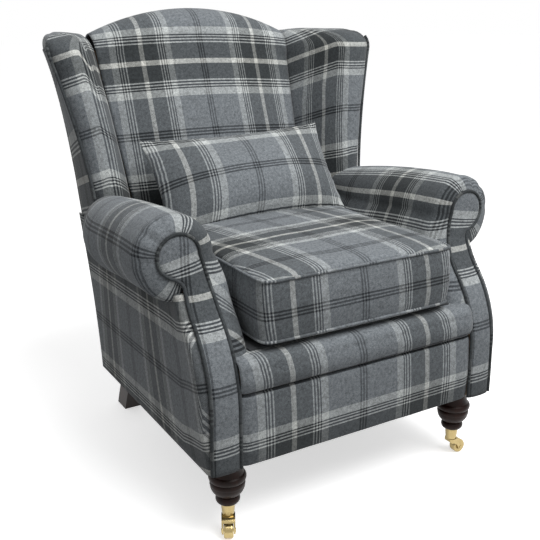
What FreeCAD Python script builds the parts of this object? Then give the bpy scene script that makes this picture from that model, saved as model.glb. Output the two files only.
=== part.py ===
import FreeCAD, Part
import math
import os
from FreeCAD import Vector

os.makedirs("parts", exist_ok=True)

# Fireside wing chair. All sizes in millimetres, +Z up, the front of the seat faces -Y.
# The chair is drawn with Y = 0 at mid depth of the seat box and is moved at the end so
# that the middle of its bounding box stands over the origin.

# Seat box
body_half_width = 373.0
body_bottom = 175.0
body_front = -320.0
rear_foot_y = 303.0
rail_thickness = 24.0
tack_rail_width = 30.0
tack_rail_height = 33.0
stay_rail_height = 55.0
crest_rail_height = 70.0
side_rail_height = 113.0
platform_height = 410.0
platform_pad_height = 23.0
lip_height = 78.0
lip_depth = 36.0
seam_height = platform_height - lip_height
pad_thickness = 20.0
seat_gap = 0.3

# Slope of the back
back_lean = 20.3
bend_rise = 70.0
bend_height = platform_height + bend_rise
bend_y = 375.0
back_thickness = 128.0
back_thickness_low = 108.0
back_pad_drop = 6.0
back_pad_low = platform_height - back_pad_drop
back_waist_rise = 190.0
back_waist = platform_height + back_waist_rise
back_inset = 133.0
back_half_width = body_half_width - back_inset
back_spread = 0.075
spread_start = 400.0
seam_setback = 45.0
crest_rise = 61.0
crest_drop = 62.0
crest_roll = 50.0
hood_gap = 3.0
cover_drop = 2.0
frame_depth = 44.0
cutter_reach = 900.0

# Arms
arm_setback = 116.0
sweep_drop = 110.0
sweep_height = 300.0
sweep_low = platform_height - sweep_drop
sweep_high = sweep_low + sweep_height
sweep_share = 0.56
scroll_inset = 1.0
scroll_x = body_half_width - scroll_inset
scroll_z = sweep_high
scroll_radius = 45.0
scroll_end_angle = -75.0
facing_width = 62.0
facing_inset = 6.0
facing_outer = body_half_width - facing_inset
facing_inner = facing_outer - facing_width
facing_thickness = 8.0
arm_roll_radius = 86.0
arm_roll_drop = 8.0
arm_roll_z = scroll_z - arm_roll_drop
arm_inset = 111.0
arm_inner = body_half_width - arm_inset
arm_widening = 8.0
arm_inner_rear = arm_inner - arm_widening
arm_pad_thickness = 38.0
arm_rear_y = 300.0
arm_taper_y = 40.0
arm_taper = 45.0
arm_draw_in = 38.0
arm_fall_y = -200.0
arm_fall = 55.0
stump_thickness = 30.0
arm_rail_width = 54.0
arm_rail_depth = 38.0
arm_rail_drop = 26.0
arm_rail_fall = 36.0
arm_cut_margin = 40.0
panel_thickness = 3.0

# Wings
wing_low_drop = 93.0
wing_low = sweep_high - wing_low_drop
wing_high = 1000.0
wing_cap_height = 45.0
wing_cap = wing_high - wing_cap_height
crest_height = wing_high + crest_rise
wing_overhang = 5.0
wing_front_x = body_half_width + wing_overhang
wing_front_y = 230.0
wing_flare = 82.0
wing_sweep = 83.0
wing_rear_inset = 7.0
wing_rear_x = body_half_width - wing_rear_inset
wing_rear_flare = 34.0
wing_thickness = 66.0
wing_thickening = 24.0
wing_nose_share = 0.3
wing_wall = 28.0
wing_front_wall = 18.0
wing_post_depth = 28.0
wing_rail_height = 31.0
wing_rail_inset = 10.0
wing_rail_width = 24.0

# Back posts
post_inset = 53.0
post_inner = body_half_width - post_inset
post_width = 35.0
post_depth = 40.0

# Seat cushion
cushion_inset = 129.0
cushion_half_width = body_half_width - cushion_inset
cushion_front = -308.0
cushion_rear = 236.0
cushion_foot = 15.0
cushion_border = 126.0
cushion_seam_low = platform_height + cushion_foot
cushion_seam_high = cushion_seam_low + cushion_border
cushion_crown = 26.0
cushion_draw_in = 3.5
cushion_bulge = 5.0

# Lumbar cushion
lumbar_inset = 118.0
lumbar_half_width = body_half_width - lumbar_inset
lumbar_height = 250.0
lumbar_thickness = 170.0
lumbar_draw_in = 13.0
lumbar_lean = 30.0
lumbar_lift_start = 40.0

# Legs and castors
leg_inset = 62.0
leg_x = body_half_width - leg_inset
leg_y = -269.0
cup_top = 72.0
cup_height = 28.0
cup_radius_top = 15.6
cup_radius_low = 13.0
cup_wall = 1.4
cup_base = 2.0
leg_ring_radius = 26.0
leg_bulb_radius = 37.0
leg_collar_radius = 40.0
leg_neck_radius = 30.0
wheel_radius = 17.0
wheel_width = 20.0
castor_trail = 22.0
fork_half_width = 14.5
wheel_room_gap = 1.2
axle_radius = 3.0
axle_head = 1.0
running_clearance = 0.06
swivel_pin_radius = 3.5
left_castor_heading = 243.0
right_castor_heading = 0.0
rear_leg_inset = 119.0
rear_leg_inner = body_half_width - rear_leg_inset
rear_leg_width = 44.0
rear_leg_foot_y = 371.0
rear_leg_foot_depth = 56.0
rear_leg_top_y = 246.0
rear_leg_top_depth = 50.0
rear_leg_curve = 8.0
bolt_radius = 4.0
bolt_grip = 27.0
block_side = 90.0
block_height = 40.0
strap_width = 60.0
strap_thickness = 2.0
strap_count = 5
back_strap_count = 5
back_strap_low_gap = 80.0
back_strap_top_gap = 120.0


def seg(a, b):
    return Part.LineSegment(a, b).toShape()


def arc(a, m, b):
    return Part.Arc(a, m, b).toShape()


def loft(wires):
    return Part.makeLoft(wires, True, False)


def box(x0, x1, y0, y1, z0, z1):
    return Part.makeBox(x1 - x0, y1 - y0, z1 - z0, Vector(x0, y0, z0))


def mix(a, b, share):
    return a + (b - a) * share


def mirror_x(shape):
    return shape.mirror(Vector(0, 0, 0), Vector(1, 0, 0))


def prism(edges, direction):
    return Part.Face(Part.Wire(edges)).extrude(direction)


def polygon(points):
    return Part.makePolygon(points + [points[0]])


# Rear line of the chair: a gentle arc up to the bend, then a straight lean.
lean = math.radians(back_lean)
lean_slope = math.tan(lean)
drop_y = rear_foot_y - bend_y
drop_z = body_bottom - bend_height
rear_radius = (drop_y ** 2 + drop_z ** 2) / (2 * (drop_y * math.cos(lean) - drop_z * math.sin(lean)))
rear_centre_y = bend_y + rear_radius * math.cos(lean)
rear_centre_z = bend_height - rear_radius * math.sin(lean)


def rear_y(z):
    if z >= bend_height:
        return bend_y + (z - bend_height) * lean_slope
    return rear_centre_y - math.sqrt(rear_radius ** 2 - (z - rear_centre_z) ** 2)


def curve_path(y_at, stops, shift, z0, z1, x):
    heights = [z0] + [z for z in stops if z0 < z < z1] + [z1]
    edges = []
    for low, high in zip(heights, heights[1:]):
        a = Vector(x, y_at(low) + shift, low)
        m = Vector(x, y_at((low + high) / 2) + shift, (low + high) / 2)
        b = Vector(x, y_at(high) + shift, high)
        bow = abs(m.y - (a.y + b.y) / 2)
        edges.append(arc(a, m, b) if bow > 0.01 else seg(a, b))
    return edges


def curved_slab(y_at, stops, front, rear, z0, z1, x0, x1):
    front_edges = curve_path(y_at, stops, front, z0, z1, x0)
    rear_edges = curve_path(y_at, stops, rear, z0, z1, x0)
    low = seg(Vector(x0, y_at(z0) + rear, z0), Vector(x0, y_at(z0) + front, z0))
    top = seg(Vector(x0, y_at(z1) + front, z1), Vector(x0, y_at(z1) + rear, z1))
    edges = Part.__sortEdges__(front_edges + rear_edges + [low, top])
    return prism(edges, Vector(x1 - x0, 0, 0))


def rear_slab(depth_front, depth_rear, z0, z1, x0, x1):
    return curved_slab(rear_y, [bend_height], -depth_front, -depth_rear, z0, z1, x0, x1)


# Front line of the arms: upright, swept back in two arcs, upright again.
sweep_rise = sweep_high - sweep_low
sweep_angle = 2 * math.atan(arm_setback / sweep_rise)
sweep_total = sweep_rise / math.sin(sweep_angle)
sweep_radius_low = sweep_total * sweep_share
sweep_radius_high = sweep_total - sweep_radius_low
sweep_mid = sweep_low + sweep_radius_low * math.sin(sweep_angle)


def sweep_y(z):
    if z <= sweep_low:
        return body_front
    if z <= sweep_mid:
        rise = z - sweep_low
        return body_front + sweep_radius_low - math.sqrt(sweep_radius_low ** 2 - rise ** 2)
    if z < sweep_high:
        fall = sweep_high - z
        end = body_front + arm_setback - sweep_radius_high
        return end + math.sqrt(sweep_radius_high ** 2 - fall ** 2)
    return body_front + arm_setback


sweep_stops = [sweep_low, sweep_mid, sweep_high]


def sweep_slab(front, rear, z0, z1, x0, x1):
    return curved_slab(sweep_y, sweep_stops, front, rear, z0, z1, x0, x1)


def crest_z(x):
    half = back_half_width + back_spread * (crest_height - crest_drop - spread_start)
    radius = (half ** 2 + crest_drop ** 2) / (2 * crest_drop)
    return crest_height - radius + math.sqrt(radius ** 2 - x ** 2)


def back_x(z):
    return back_half_width + back_spread * (z - spread_start)


# Outline of the arm front seen from the front, drawn in by the margin
def scroll_outline(margin, bottom, y):
    r = scroll_radius - margin
    inner = facing_inner + margin
    outer = facing_outer - margin
    end = math.radians(scroll_end_angle)
    side = math.radians(scroll_end_angle / 2)
    left = Vector(scroll_x - r, y, scroll_z)
    top = Vector(scroll_x, y, scroll_z + r)
    right = Vector(scroll_x + r, y, scroll_z)
    right_low = Vector(scroll_x + r * math.cos(side), y, scroll_z + r * math.sin(side))
    tail = Vector(scroll_x + r * math.cos(end), y, scroll_z + r * math.sin(end))
    neck = Vector(outer, y, tail.z - scroll_radius / 2)
    neck_mid = Vector((neck.x + tail.x) / 2 - 4.0, y, (neck.z + tail.z) / 2 + 5.0)
    half = math.sqrt(0.5) * r
    waist = Vector(inner, y, scroll_z - 3 * scroll_radius)
    waist_mid = Vector(inner + (left.x - inner) * 0.3, y, scroll_z - 1.5 * scroll_radius)
    return [
        seg(Vector(inner, y, bottom), waist),
        arc(waist, waist_mid, left),
        arc(left, Vector(scroll_x - half, y, scroll_z + half), top),
        arc(top, Vector(scroll_x + half, y, scroll_z + half), right),
        arc(right, right_low, tail),
        arc(tail, neck_mid, neck),
        seg(neck, Vector(outer, y, bottom)),
        seg(Vector(outer, y, bottom), Vector(inner, y, bottom)),
    ]


def scroll_board(margin, bottom, front, rear):
    start = body_front - 50.0
    reach = body_front + arm_setback + rear + 50.0
    prism_y = prism(scroll_outline(margin, bottom, start), Vector(0, reach - start, 0))
    slab = sweep_slab(front, rear, bottom - 10.0, scroll_z + scroll_radius + 10.0,
                      facing_inner - 20.0, scroll_x + scroll_radius + 20.0)
    return prism_y.common(slab)


# Wings, seen from above: a is measured inwards from the outer face, b backwards from the front.
def wing_share(z):
    return (z - wing_low) / (wing_high - wing_low)


def wing_front(z):
    u = max(wing_share(z), 0.0)
    return Vector(wing_front_x + wing_flare * u ** 1.8, wing_front_y + wing_sweep * u ** 1.1, z)


def wing_rear(z):
    u = max(wing_share(z), 0.0)
    return Vector(wing_rear_x + wing_rear_flare * u ** 4, rear_y(z), z)


def wing_depth(z):
    return (wing_rear(z) - wing_front(z)).Length


def wing_point(z, a, b, trim=0.0):
    back = (wing_rear(z) - wing_front(z)).normalize()
    inwards = Vector(-back.y, back.x, 0)
    return wing_front(z) + inwards * (a + trim) + back * (b + trim)


def wing_width(z):
    return wing_thickness + wing_thickening * wing_share(z)


def wing_nose(z, trim, front_shift):
    width = wing_width(z)
    outer = wing_point(z, trim, front_shift)
    inner = wing_point(z, width - trim, front_shift)
    tip = wing_point(z, width / 2, front_shift - (wing_nose_share * width - trim))
    seam = Vector(back_x(z) + seat_gap + trim, rear_y(z) - back_thickness + seam_setback - 2.0, z)
    cheek = (inner + seam) * 0.5 + Vector(-4.0, -2.0, 0)
    return outer, tip, inner, cheek, seam


def wing_shell_section(z):
    outer, tip, inner, cheek, seam = wing_nose(z, 0.0, 0.0)
    lip = panel_thickness + seat_gap
    step = wing_point(z, lip, 0.0)
    wall_outer = wing_point(z, lip, wing_front_wall)
    wall_inner = wing_point(z, wing_width(z) - wing_wall, wing_front_wall)
    rear_outer = Vector(post_inner - 2.0, rear_y(z) - frame_depth - 6.0, z)
    rear_inner = Vector(seam.x, rear_outer.y, z)
    return Part.Wire([
        arc(outer, tip, inner),
        arc(inner, cheek, seam),
        seg(seam, rear_inner),
        seg(rear_inner, rear_outer),
        seg(rear_outer, wall_inner),
        seg(wall_inner, wall_outer),
        seg(wall_outer, step),
        seg(step, outer),
    ])


def wing_full_section(z, trim, front_shift):
    outer, tip, inner, cheek, seam = wing_nose(z, trim, front_shift)
    rear_outer = wing_rear(z) + Vector(-trim, -trim, 0)
    rear_inner = Vector(seam.x, rear_outer.y, z)
    return Part.Wire([
        arc(outer, tip, inner),
        arc(inner, cheek, seam),
        seg(seam, rear_inner),
        seg(rear_inner, rear_outer),
        seg(rear_outer, outer),
    ])


nodes = {}


def add(name, shape):
    nodes[name] = shape
    return shape


def add_pair(name, shape):
    add(name + "_right", shape)
    add(name + "_left", mirror_x(shape))


# Arm front: padded facing and the wooden stump behind it
facing = scroll_board(0.0, body_bottom, 0.0, facing_thickness)
add_pair("arm_facing", facing)
stump_front = facing_thickness + seat_gap
stump_rear = stump_front + stump_thickness
frame_bottom = body_bottom + 2.0
stump = scroll_board(2.5, frame_bottom, stump_front, stump_rear)
add_pair("arm_stump", stump)

# Back posts, bent back above the seat
post = rear_slab(frame_depth + 4.0, frame_depth + 4.0 - post_depth, frame_bottom, wing_cap - seat_gap,
                 post_inner, post_inner + post_width)
add_pair("back_post", post)
post_front_depth = frame_depth + 4.0

# Rails of the seat box
rail_y = body_front + pad_thickness
front_rail_half = facing_inner - seat_gap
rail_top = platform_height - platform_pad_height - strap_thickness
add("front_rail", box(-front_rail_half, front_rail_half, rail_y, rail_y + rail_thickness,
                      frame_bottom, rail_top))
add("back_rail", rear_slab(post_front_depth - 8.0, post_front_depth - 8.0 - rail_thickness,
                           frame_bottom, rail_top, -post_inner, post_inner))
side_rail = box(post_inner + 2.0, post_inner + 2.0 + rail_thickness, body_front + stump_rear,
                rear_y(frame_bottom) - post_front_depth, frame_bottom, frame_bottom + side_rail_height)
add_pair("side_rail", side_rail)
tack_rail_low = platform_height + 2.0
tack_rail_high = tack_rail_low + tack_rail_height
tack_inner = arm_inner + arm_pad_thickness + seat_gap
tack_rail = box(tack_inner, tack_inner + tack_rail_width, body_front, rear_y(bend_height),
                tack_rail_low, tack_rail_high)
tack_cut_low = tack_rail_low - tack_rail_height
tack_cut_high = tack_rail_high + tack_rail_height
tack_cut_inner = tack_inner - tack_rail_width
tack_cut_outer = tack_inner + 2 * tack_rail_width
tack_rail = tack_rail.cut(sweep_slab(-arm_setback - stump_thickness, stump_rear, tack_cut_low, tack_cut_high,
                                     tack_cut_inner, tack_cut_outer))
tack_rail = tack_rail.cut(rear_slab(post_front_depth, -post_front_depth, tack_cut_low, tack_cut_high,
                                    tack_cut_inner, tack_cut_outer))
add_pair("seat_tack_rail", tack_rail)
add("back_stay_rail", rear_slab(frame_depth - 4.0, frame_depth - 4.0 - rail_thickness,
                                platform_height, platform_height + stay_rail_height,
                                -post_inner, post_inner))

# Crest rail, cut to the camel-back line
crest_x = post_inner
crest_top = [Vector(-crest_x, 0, crest_z(crest_x) - crest_roll - hood_gap),
             Vector(0, 0, crest_height - crest_roll - hood_gap),
             Vector(crest_x, 0, crest_z(crest_x) - crest_roll - hood_gap)]
rail_drop = Vector(0, 0, -crest_rail_height)
crest_low = [p + rail_drop for p in crest_top]
crest_profile = prism([
    arc(crest_top[0], crest_top[1], crest_top[2]),
    seg(crest_top[2], crest_low[2]),
    arc(crest_low[2], crest_low[1], crest_low[0]),
    seg(crest_low[0], crest_top[0]),
], Vector(0, cutter_reach, 0))
crest_rail_depth = frame_depth - 3.0
crest_slab = rear_slab(crest_rail_depth, crest_rail_depth - rail_thickness,
                       crest_height - crest_drop - 2 * crest_rail_height,
                       crest_height, -crest_x, crest_x)
add("crest_rail", crest_profile.common(crest_slab))

# Arm rail: from the stump back and inwards to the post
def rail_section(y, x0, z0):
    return polygon([Vector(x0, y, z0), Vector(x0 + arm_rail_width, y, z0),
                    Vector(x0 + arm_rail_width, y, z0 + arm_rail_depth), Vector(x0, y, z0 + arm_rail_depth)])


arm_rail_front_y = body_front + arm_setback + stump_rear
arm_rail_low = arm_roll_z - arm_rail_drop
arm_rail_rear_low = arm_rail_low - arm_rail_fall
arm_rail_rear_x = post_inner + 2.0


def arm_rail_rear_section(z0):
    z1 = z0 + arm_rail_depth
    low = rear_y(z0) - post_front_depth
    high = rear_y(z1) - post_front_depth
    x0 = arm_rail_rear_x
    x1 = arm_rail_rear_x + post_width - 4.0
    return polygon([Vector(x0, low, z0), Vector(x1, low, z0), Vector(x1, high, z1), Vector(x0, high, z1)])


arm_rail = loft([
    rail_section(arm_rail_front_y, scroll_x - arm_rail_width / 2, arm_rail_low),
    arm_rail_rear_section(arm_rail_rear_low),
])
add_pair("arm_rail", arm_rail)

# Wing frame
def wing_post_section(z):
    front = wing_front_wall + seat_gap
    inner = wing_width(z) - wing_wall - 2.0
    outer = panel_thickness + 3.0
    rear = front + wing_post_depth
    return polygon([wing_point(z, outer, front), wing_point(z, inner, front),
                    wing_point(z, inner, rear), wing_point(z, outer, rear)])


wing_post_foot = arm_rail_rear_low + arm_rail_depth
wing_post_top = wing_cap - seat_gap
wing_post_heights = [mix(wing_post_foot, wing_post_top, share) for share in (0.0, 0.33, 0.66, 1.0)]
wing_post = loft([wing_post_section(z) for z in wing_post_heights])
wing_post = wing_post.cut(arm_rail)
add_pair("wing_post", wing_post)


def wing_rail_section(z):
    front = wing_front_wall + wing_post_depth + 2 * seat_gap
    rear = rear_y(z) - post_front_depth - seat_gap
    rail_inner = wing_rail_inset + wing_rail_width
    rear_outer = post_inner + post_width - 5.0
    return polygon([wing_point(z, wing_rail_inset, front), wing_point(z, rail_inner, front),
                    Vector(rear_outer - wing_rail_width, rear, z), Vector(rear_outer, rear, z)])


wing_rail = loft([wing_rail_section(z) for z in (wing_cap - wing_rail_height, wing_cap - seat_gap)])
add_pair("wing_rail", wing_rail)

# Inside wings: padded shell over the wing frame, closed and rounded at the top
shell_heights = [mix(wing_low, wing_cap, share) for share in (0.0, 0.21, 0.43, 0.63, 0.81, 0.92, 1.0)]
wing_shell = loft([wing_shell_section(z) for z in shell_heights])
cap_sections = [(0.0, 0.0, 0.0), (0.44, 0.02, 0.04), (0.78, 0.13, 0.2), (1.0, 0.42, 0.58)]
wing_cap_pad = loft([wing_full_section(wing_cap + wing_cap_height * up, wing_cap_height * trim,
                                       wing_cap_height * shift) for up, trim, shift in cap_sections])
inside_wing = wing_shell.fuse(wing_cap_pad).cut(arm_rail)
add_pair("inside_wing", inside_wing)


def wing_panel_section(z):
    depth = wing_depth(z) - panel_thickness - 0.5
    return polygon([wing_point(z, 0.0, 0.3), wing_point(z, 0.0, depth),
                    wing_point(z, panel_thickness, depth), wing_point(z, panel_thickness, 0.3)])


panel_heights = shell_heights[:-1] + [wing_cap - seat_gap]
outside_wing = loft([wing_panel_section(z) for z in panel_heights])
add_pair("outside_wing", outside_wing)

# Inside arms: pad and roll in one cover, wrapped round the front edge
def arm_section(y, centre_x, centre_z, radius, inner):
    low = platform_height + 2.0
    outer = inner + arm_pad_thickness
    hip = centre_z - 0.84 * radius
    half = math.sqrt(0.5) * radius
    under_angle = math.acos((body_half_width + seat_gap - centre_x) / radius)
    under = Vector(centre_x + radius * math.cos(under_angle), y, centre_z - radius * math.sin(under_angle))
    side = Vector(centre_x + radius * math.cos(under_angle / 2), y, centre_z - radius * math.sin(under_angle / 2))
    left = Vector(centre_x - radius, y, centre_z)
    top = Vector(centre_x, y, centre_z + radius)
    right = Vector(centre_x + radius, y, centre_z)
    hip_mid = Vector(inner + (left.x - inner) * 0.3, y, (hip + centre_z) / 2)
    return Part.Wire([
        seg(Vector(outer, y, low), Vector(inner, y, low)),
        seg(Vector(inner, y, low), Vector(inner, y, hip)),
        arc(Vector(inner, y, hip), hip_mid, left),
        arc(left, Vector(centre_x - half, y, centre_z + half), top),
        arc(top, Vector(centre_x + half, y, centre_z + half), right),
        arc(right, side, under),
        seg(under, Vector(outer, y, under.z)),
        seg(Vector(outer, y, under.z), Vector(outer, y, low)),
    ])


def arm_station(y):
    taper = max((y - arm_taper_y) / (arm_rear_y - arm_taper_y), 0.0) ** 2.4
    run = max((y - arm_fall_y) / (arm_rear_y - arm_fall_y), 0.0)
    radius = arm_roll_radius - arm_taper * taper
    ridge = arm_roll_z + arm_roll_radius - arm_fall * run ** 2
    inner = arm_inner + (arm_inner_rear - arm_inner) * run ** 2
    return arm_section(y, scroll_x - arm_draw_in * taper, ridge - radius, radius, inner)


arm_stations = [body_front - 20.0]
arm_stations += [mix(body_front, arm_taper_y, share) for share in (0.39, 0.72, 1.0)]
arm_stations += [mix(arm_taper_y, arm_rear_y, share) for share in (0.3, 0.58, 0.81, 1.0)]
arm_form = loft([arm_station(y) for y in arm_stations])
arm_front_shift = facing_thickness - 2.0
wing_block = loft([wing_full_section(z, 0.0, 0.0) for z in shell_heights[:3]])
cut_low = platform_height - arm_cut_margin
cut_high = arm_roll_z + arm_roll_radius + arm_cut_margin
cut_inner = arm_inner_rear - arm_cut_margin
cut_outer = scroll_x + arm_roll_radius + arm_cut_margin
cut_reach = arm_setback + 2 * arm_cut_margin
inside_arm = arm_form.cut(sweep_slab(-cut_reach, arm_front_shift, cut_low, cut_high, cut_inner, cut_outer))
for inner_part in (wing_block, arm_rail, stump, facing, outside_wing):
    inside_arm = inside_arm.cut(inner_part)
inside_arm = inside_arm.cut(rear_slab(post_front_depth + seat_gap, -cut_reach, cut_low, cut_high,
                                      cut_inner, cut_outer))
add_pair("inside_arm", inside_arm)

# Outside arm panels under the rolls
panel_x = body_half_width - panel_thickness
panel_face_top = wing_low - seat_gap
outside_arm = box(panel_x, body_half_width, body_front - arm_cut_margin, rear_y(wing_low) + arm_cut_margin,
                  body_bottom, panel_face_top)
panel_cut_low = body_bottom - 2 * arm_cut_margin
outside_arm = outside_arm.cut(sweep_slab(-cut_reach, panel_thickness, panel_cut_low, cut_high,
                                         cut_inner, cut_outer))
outside_arm = outside_arm.cut(rear_slab(panel_thickness + seat_gap, -cut_reach, panel_cut_low, cut_high,
                                        cut_inner, cut_outer))
outside_arm = outside_arm.cut(inside_arm)
add_pair("outside_arm", outside_arm)

# Front border below the seam and the padded lip above it
border_half = facing_inner - 2.0
border_rear = body_front + pad_thickness - seat_gap
seam_y = body_front + 1.0


def lip_point(y, z):
    return Vector(-border_half, y, z)


across_seat = Vector(2 * border_half, 0, 0)
border_top = seam_height - seat_gap
border_mid = (body_bottom + border_top) / 2
add("front_border", prism([
    seg(lip_point(border_rear, body_bottom), lip_point(seam_y, body_bottom)),
    arc(lip_point(seam_y, body_bottom), lip_point(seam_y - 4.0, border_mid), lip_point(seam_y, border_top)),
    seg(lip_point(seam_y, border_top), lip_point(border_rear, border_top)),
    seg(lip_point(border_rear, border_top), lip_point(border_rear, body_bottom)),
], across_seat))
lip_bow = seam_y - 9.0
lip_shoulder = lip_point(seam_y + 3.0, platform_height - 14.0)
lip_top = lip_point(body_front + lip_depth, platform_height - 2.0)
lip_rest = rail_top + seat_gap
add("front_lip", prism([
    seg(lip_point(border_rear, seam_height), lip_point(seam_y, seam_height)),
    arc(lip_point(seam_y, seam_height), lip_point(lip_bow, seam_height + lip_height * 0.46), lip_shoulder),
    arc(lip_shoulder, lip_point(body_front + lip_depth * 0.42, platform_height - 4.0), lip_top),
    seg(lip_top, lip_point(lip_top.y, lip_rest)),
    seg(lip_point(lip_top.y, lip_rest), lip_point(border_rear, lip_rest)),
    seg(lip_point(border_rear, lip_rest), lip_point(border_rear, seam_height)),
], across_seat))

# Seat webbing over the rails and the platform pad on it
strap_pitch = 2 * (front_rail_half - strap_width / 2 - 10.0) / (strap_count - 1)
strap_front = lip_top.y + 1.0
strap_rear = rear_y(rail_top) - post_front_depth + 8.0 + rail_thickness - 4.0
straps = []
for i in range(strap_count):
    middle = (i - (strap_count - 1) / 2) * strap_pitch
    straps.append(box(middle - strap_width / 2, middle + strap_width / 2, strap_front, strap_rear,
                      rail_top, rail_top + strap_thickness))
add("seat_webbing", Part.makeCompound(straps))
pad_front = rear_y(back_pad_low) - back_thickness_low
add("seat_platform", box(-arm_inner, arm_inner, strap_front, pad_front - 3.0,
                         rail_top + strap_thickness, platform_height))

# Inside back: one pad with a crowned face, drawn back to the wing seams, rolled over the crest
back_low = back_pad_low
front_bend = (back_thickness - back_thickness_low) / (back_waist - back_low)


def back_face_y(z, share):
    thick = back_thickness_low + front_bend * min(z - back_low, back_waist - back_low)
    return rear_y(z) - thick + seam_setback * abs(share) ** 2.4


def back_section(share):
    peak = crest_z(share * (back_x(crest_height) - 5.0))
    face_top = peak - crest_roll - 10.0
    hood = peak - crest_roll
    ease = seam_setback * abs(share) ** 2.4

    def at(y, z):
        return Vector(share * back_x(z), y, z)

    low_rear = at(rear_y(back_low) - frame_depth, back_low)
    low_front = at(back_face_y(back_low, share), back_low)
    waist = at(back_face_y(back_waist, share), back_waist)
    shoulder = at(back_face_y(face_top, share), face_top)
    hood_rear = at(rear_y(hood), hood)
    crown_y = (shoulder.y + hood_rear.y) / 2
    half_depth = (hood_rear.y - shoulder.y) / 2
    crown = at(crown_y, peak)
    quarter = math.sqrt(0.5)
    front_mid = at(crown_y - quarter * half_depth, face_top + quarter * (peak - face_top))
    rear_mid = at(crown_y + quarter * half_depth, hood + quarter * (peak - hood))
    hood_inner = at(rear_y(hood) - frame_depth, hood)
    bend = at(rear_y(bend_height) - frame_depth, bend_height)
    low_mid_z = (back_low + bend_height) / 2
    low_mid = at(rear_y(low_mid_z) - frame_depth, low_mid_z)
    return Part.Wire([
        seg(low_rear, low_front),
        arc(low_front, waist, shoulder),
        arc(shoulder, front_mid, crown),
        arc(crown, rear_mid, hood_rear),
        seg(hood_rear, hood_inner),
        seg(hood_inner, bend),
        arc(bend, low_mid, low_rear),
    ])


add("inside_back", loft([back_section(share) for share in (-1.0, -0.7, -0.35, 0.0, 0.35, 0.7, 1.0)]))

# Webbing across the back posts behind the pad
back_straps = []
strap_low = platform_height + back_strap_low_gap
strap_step = (crest_z(post_inner) - crest_roll - back_strap_top_gap - strap_low) / (back_strap_count - 1)
for i in range(back_strap_count):
    low = strap_low + i * strap_step
    back_straps.append(rear_slab(frame_depth - seat_gap, frame_depth - seat_gap - strap_thickness,
                                 low, low + strap_width * 0.8, -post_inner, post_inner))
add("back_webbing", Part.makeCompound(back_straps))

# Outside back: thin cover from the bottom edge to the crest
seam_x = back_x(wing_cap)
flare_x = wing_rear(wing_cap).x
cover_low = body_half_width - 1.0
flare_start = mix(wing_low, wing_cap, 0.565)
flare_mid = (flare_start + wing_cap) / 2
cover_top = wing_cap - seat_gap
hood_low = crest_z(seam_x) - crest_roll - cover_drop
crest_mid = Vector(0, 0, crest_height - crest_roll - cover_drop)


def cover_point(x, z):
    return Vector(x, 0, z)


flare_foot = cover_point(wing_rear_x, flare_start)
cover_half = [
    seg(cover_point(cover_low, body_bottom), flare_foot),
    arc(flare_foot, cover_point(wing_rear(flare_mid).x, flare_mid), cover_point(flare_x, cover_top)),
    seg(cover_point(flare_x, cover_top), cover_point(seam_x, cover_top)),
    seg(cover_point(seam_x, cover_top), cover_point(seam_x, hood_low)),
]
cover_other = [mirror_x(edge) for edge in cover_half]
cover_edges = cover_half + cover_other + [
    seg(cover_point(-cover_low, body_bottom), cover_point(cover_low, body_bottom)),
    arc(cover_point(seam_x, hood_low), crest_mid, cover_point(-seam_x, hood_low)),
]
cover_outline = prism(Part.__sortEdges__(cover_edges), Vector(0, cutter_reach, 0))
cover_slab = rear_slab(panel_thickness, 0.0, body_bottom - 5.0, crest_height, -cutter_reach, cutter_reach)
add("outside_back", cover_outline.common(cover_slab))

# Turned front legs with a turned-down end in the castor cup
leg_top = frame_bottom
cup_floor = cup_top - cup_height
spigot_low = cup_floor + cup_base + seat_gap
spigot_radius_low = cup_radius_low - cup_wall
spigot_radius_top = cup_radius_top - cup_wall
rivet_radius = 5.5


def leg_edges():
    outline = [(0.0, spigot_low), (spigot_radius_low, spigot_low), (spigot_radius_top, cup_top + seat_gap),
               (18.0, cup_top + seat_gap)]
    ring_low = Vector(18.0, 0, cup_top + seat_gap)
    ring_side = Vector(leg_ring_radius, 0, cup_top + 10.0)
    ring_top = Vector(21.5, 0, cup_top + 20.0)
    bulb_side = Vector(leg_bulb_radius - 3.5, 0, cup_top + 32.0)
    bulb_wide = Vector(leg_bulb_radius, 0, cup_top + 44.0)
    bulb_turn = Vector(leg_bulb_radius + 0.5, 0, cup_top + 49.0)
    bulb_top = Vector(leg_bulb_radius - 2.0, 0, cup_top + 54.0)
    collar_side = Vector(leg_collar_radius, 0, cup_top + 63.0)
    collar_top = Vector(leg_bulb_radius - 2.0, 0, cup_top + 72.0)
    neck_mid = Vector(leg_neck_radius + 1.0, 0, cup_top + 84.0)
    neck_top = Vector(leg_neck_radius, 0, leg_top)
    corners = [Vector(r, 0, z) for r, z in outline]
    edges = [seg(a, b) for a, b in zip(corners, corners[1:])]
    edges += [arc(ring_low, ring_side, ring_top), arc(ring_top, bulb_side, bulb_wide),
              arc(bulb_wide, bulb_turn, bulb_top), arc(bulb_top, collar_side, collar_top),
              arc(collar_top, neck_mid, neck_top)]
    edges += [seg(neck_top, Vector(0, 0, leg_top)), seg(Vector(0, 0, leg_top), Vector(0, 0, spigot_low))]
    return edges


leg_turning = Part.Face(Part.Wire(leg_edges())).revolve(Vector(0, 0, 0), Vector(0, 0, 1), 360.0)
leg_turning = leg_turning.cut(Part.makeCylinder(rivet_radius + 1.0, 6.0, Vector(0, 0, cup_floor)))
bolt_low = leg_top - bolt_grip
front_bolt = Part.makeCylinder(bolt_radius, bolt_grip + block_height * 0.8, Vector(leg_x, leg_y, bolt_low))
front_leg = leg_turning.translated(Vector(leg_x, leg_y, 0)).cut(front_bolt)
add_pair("front_leg", front_leg)

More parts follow.
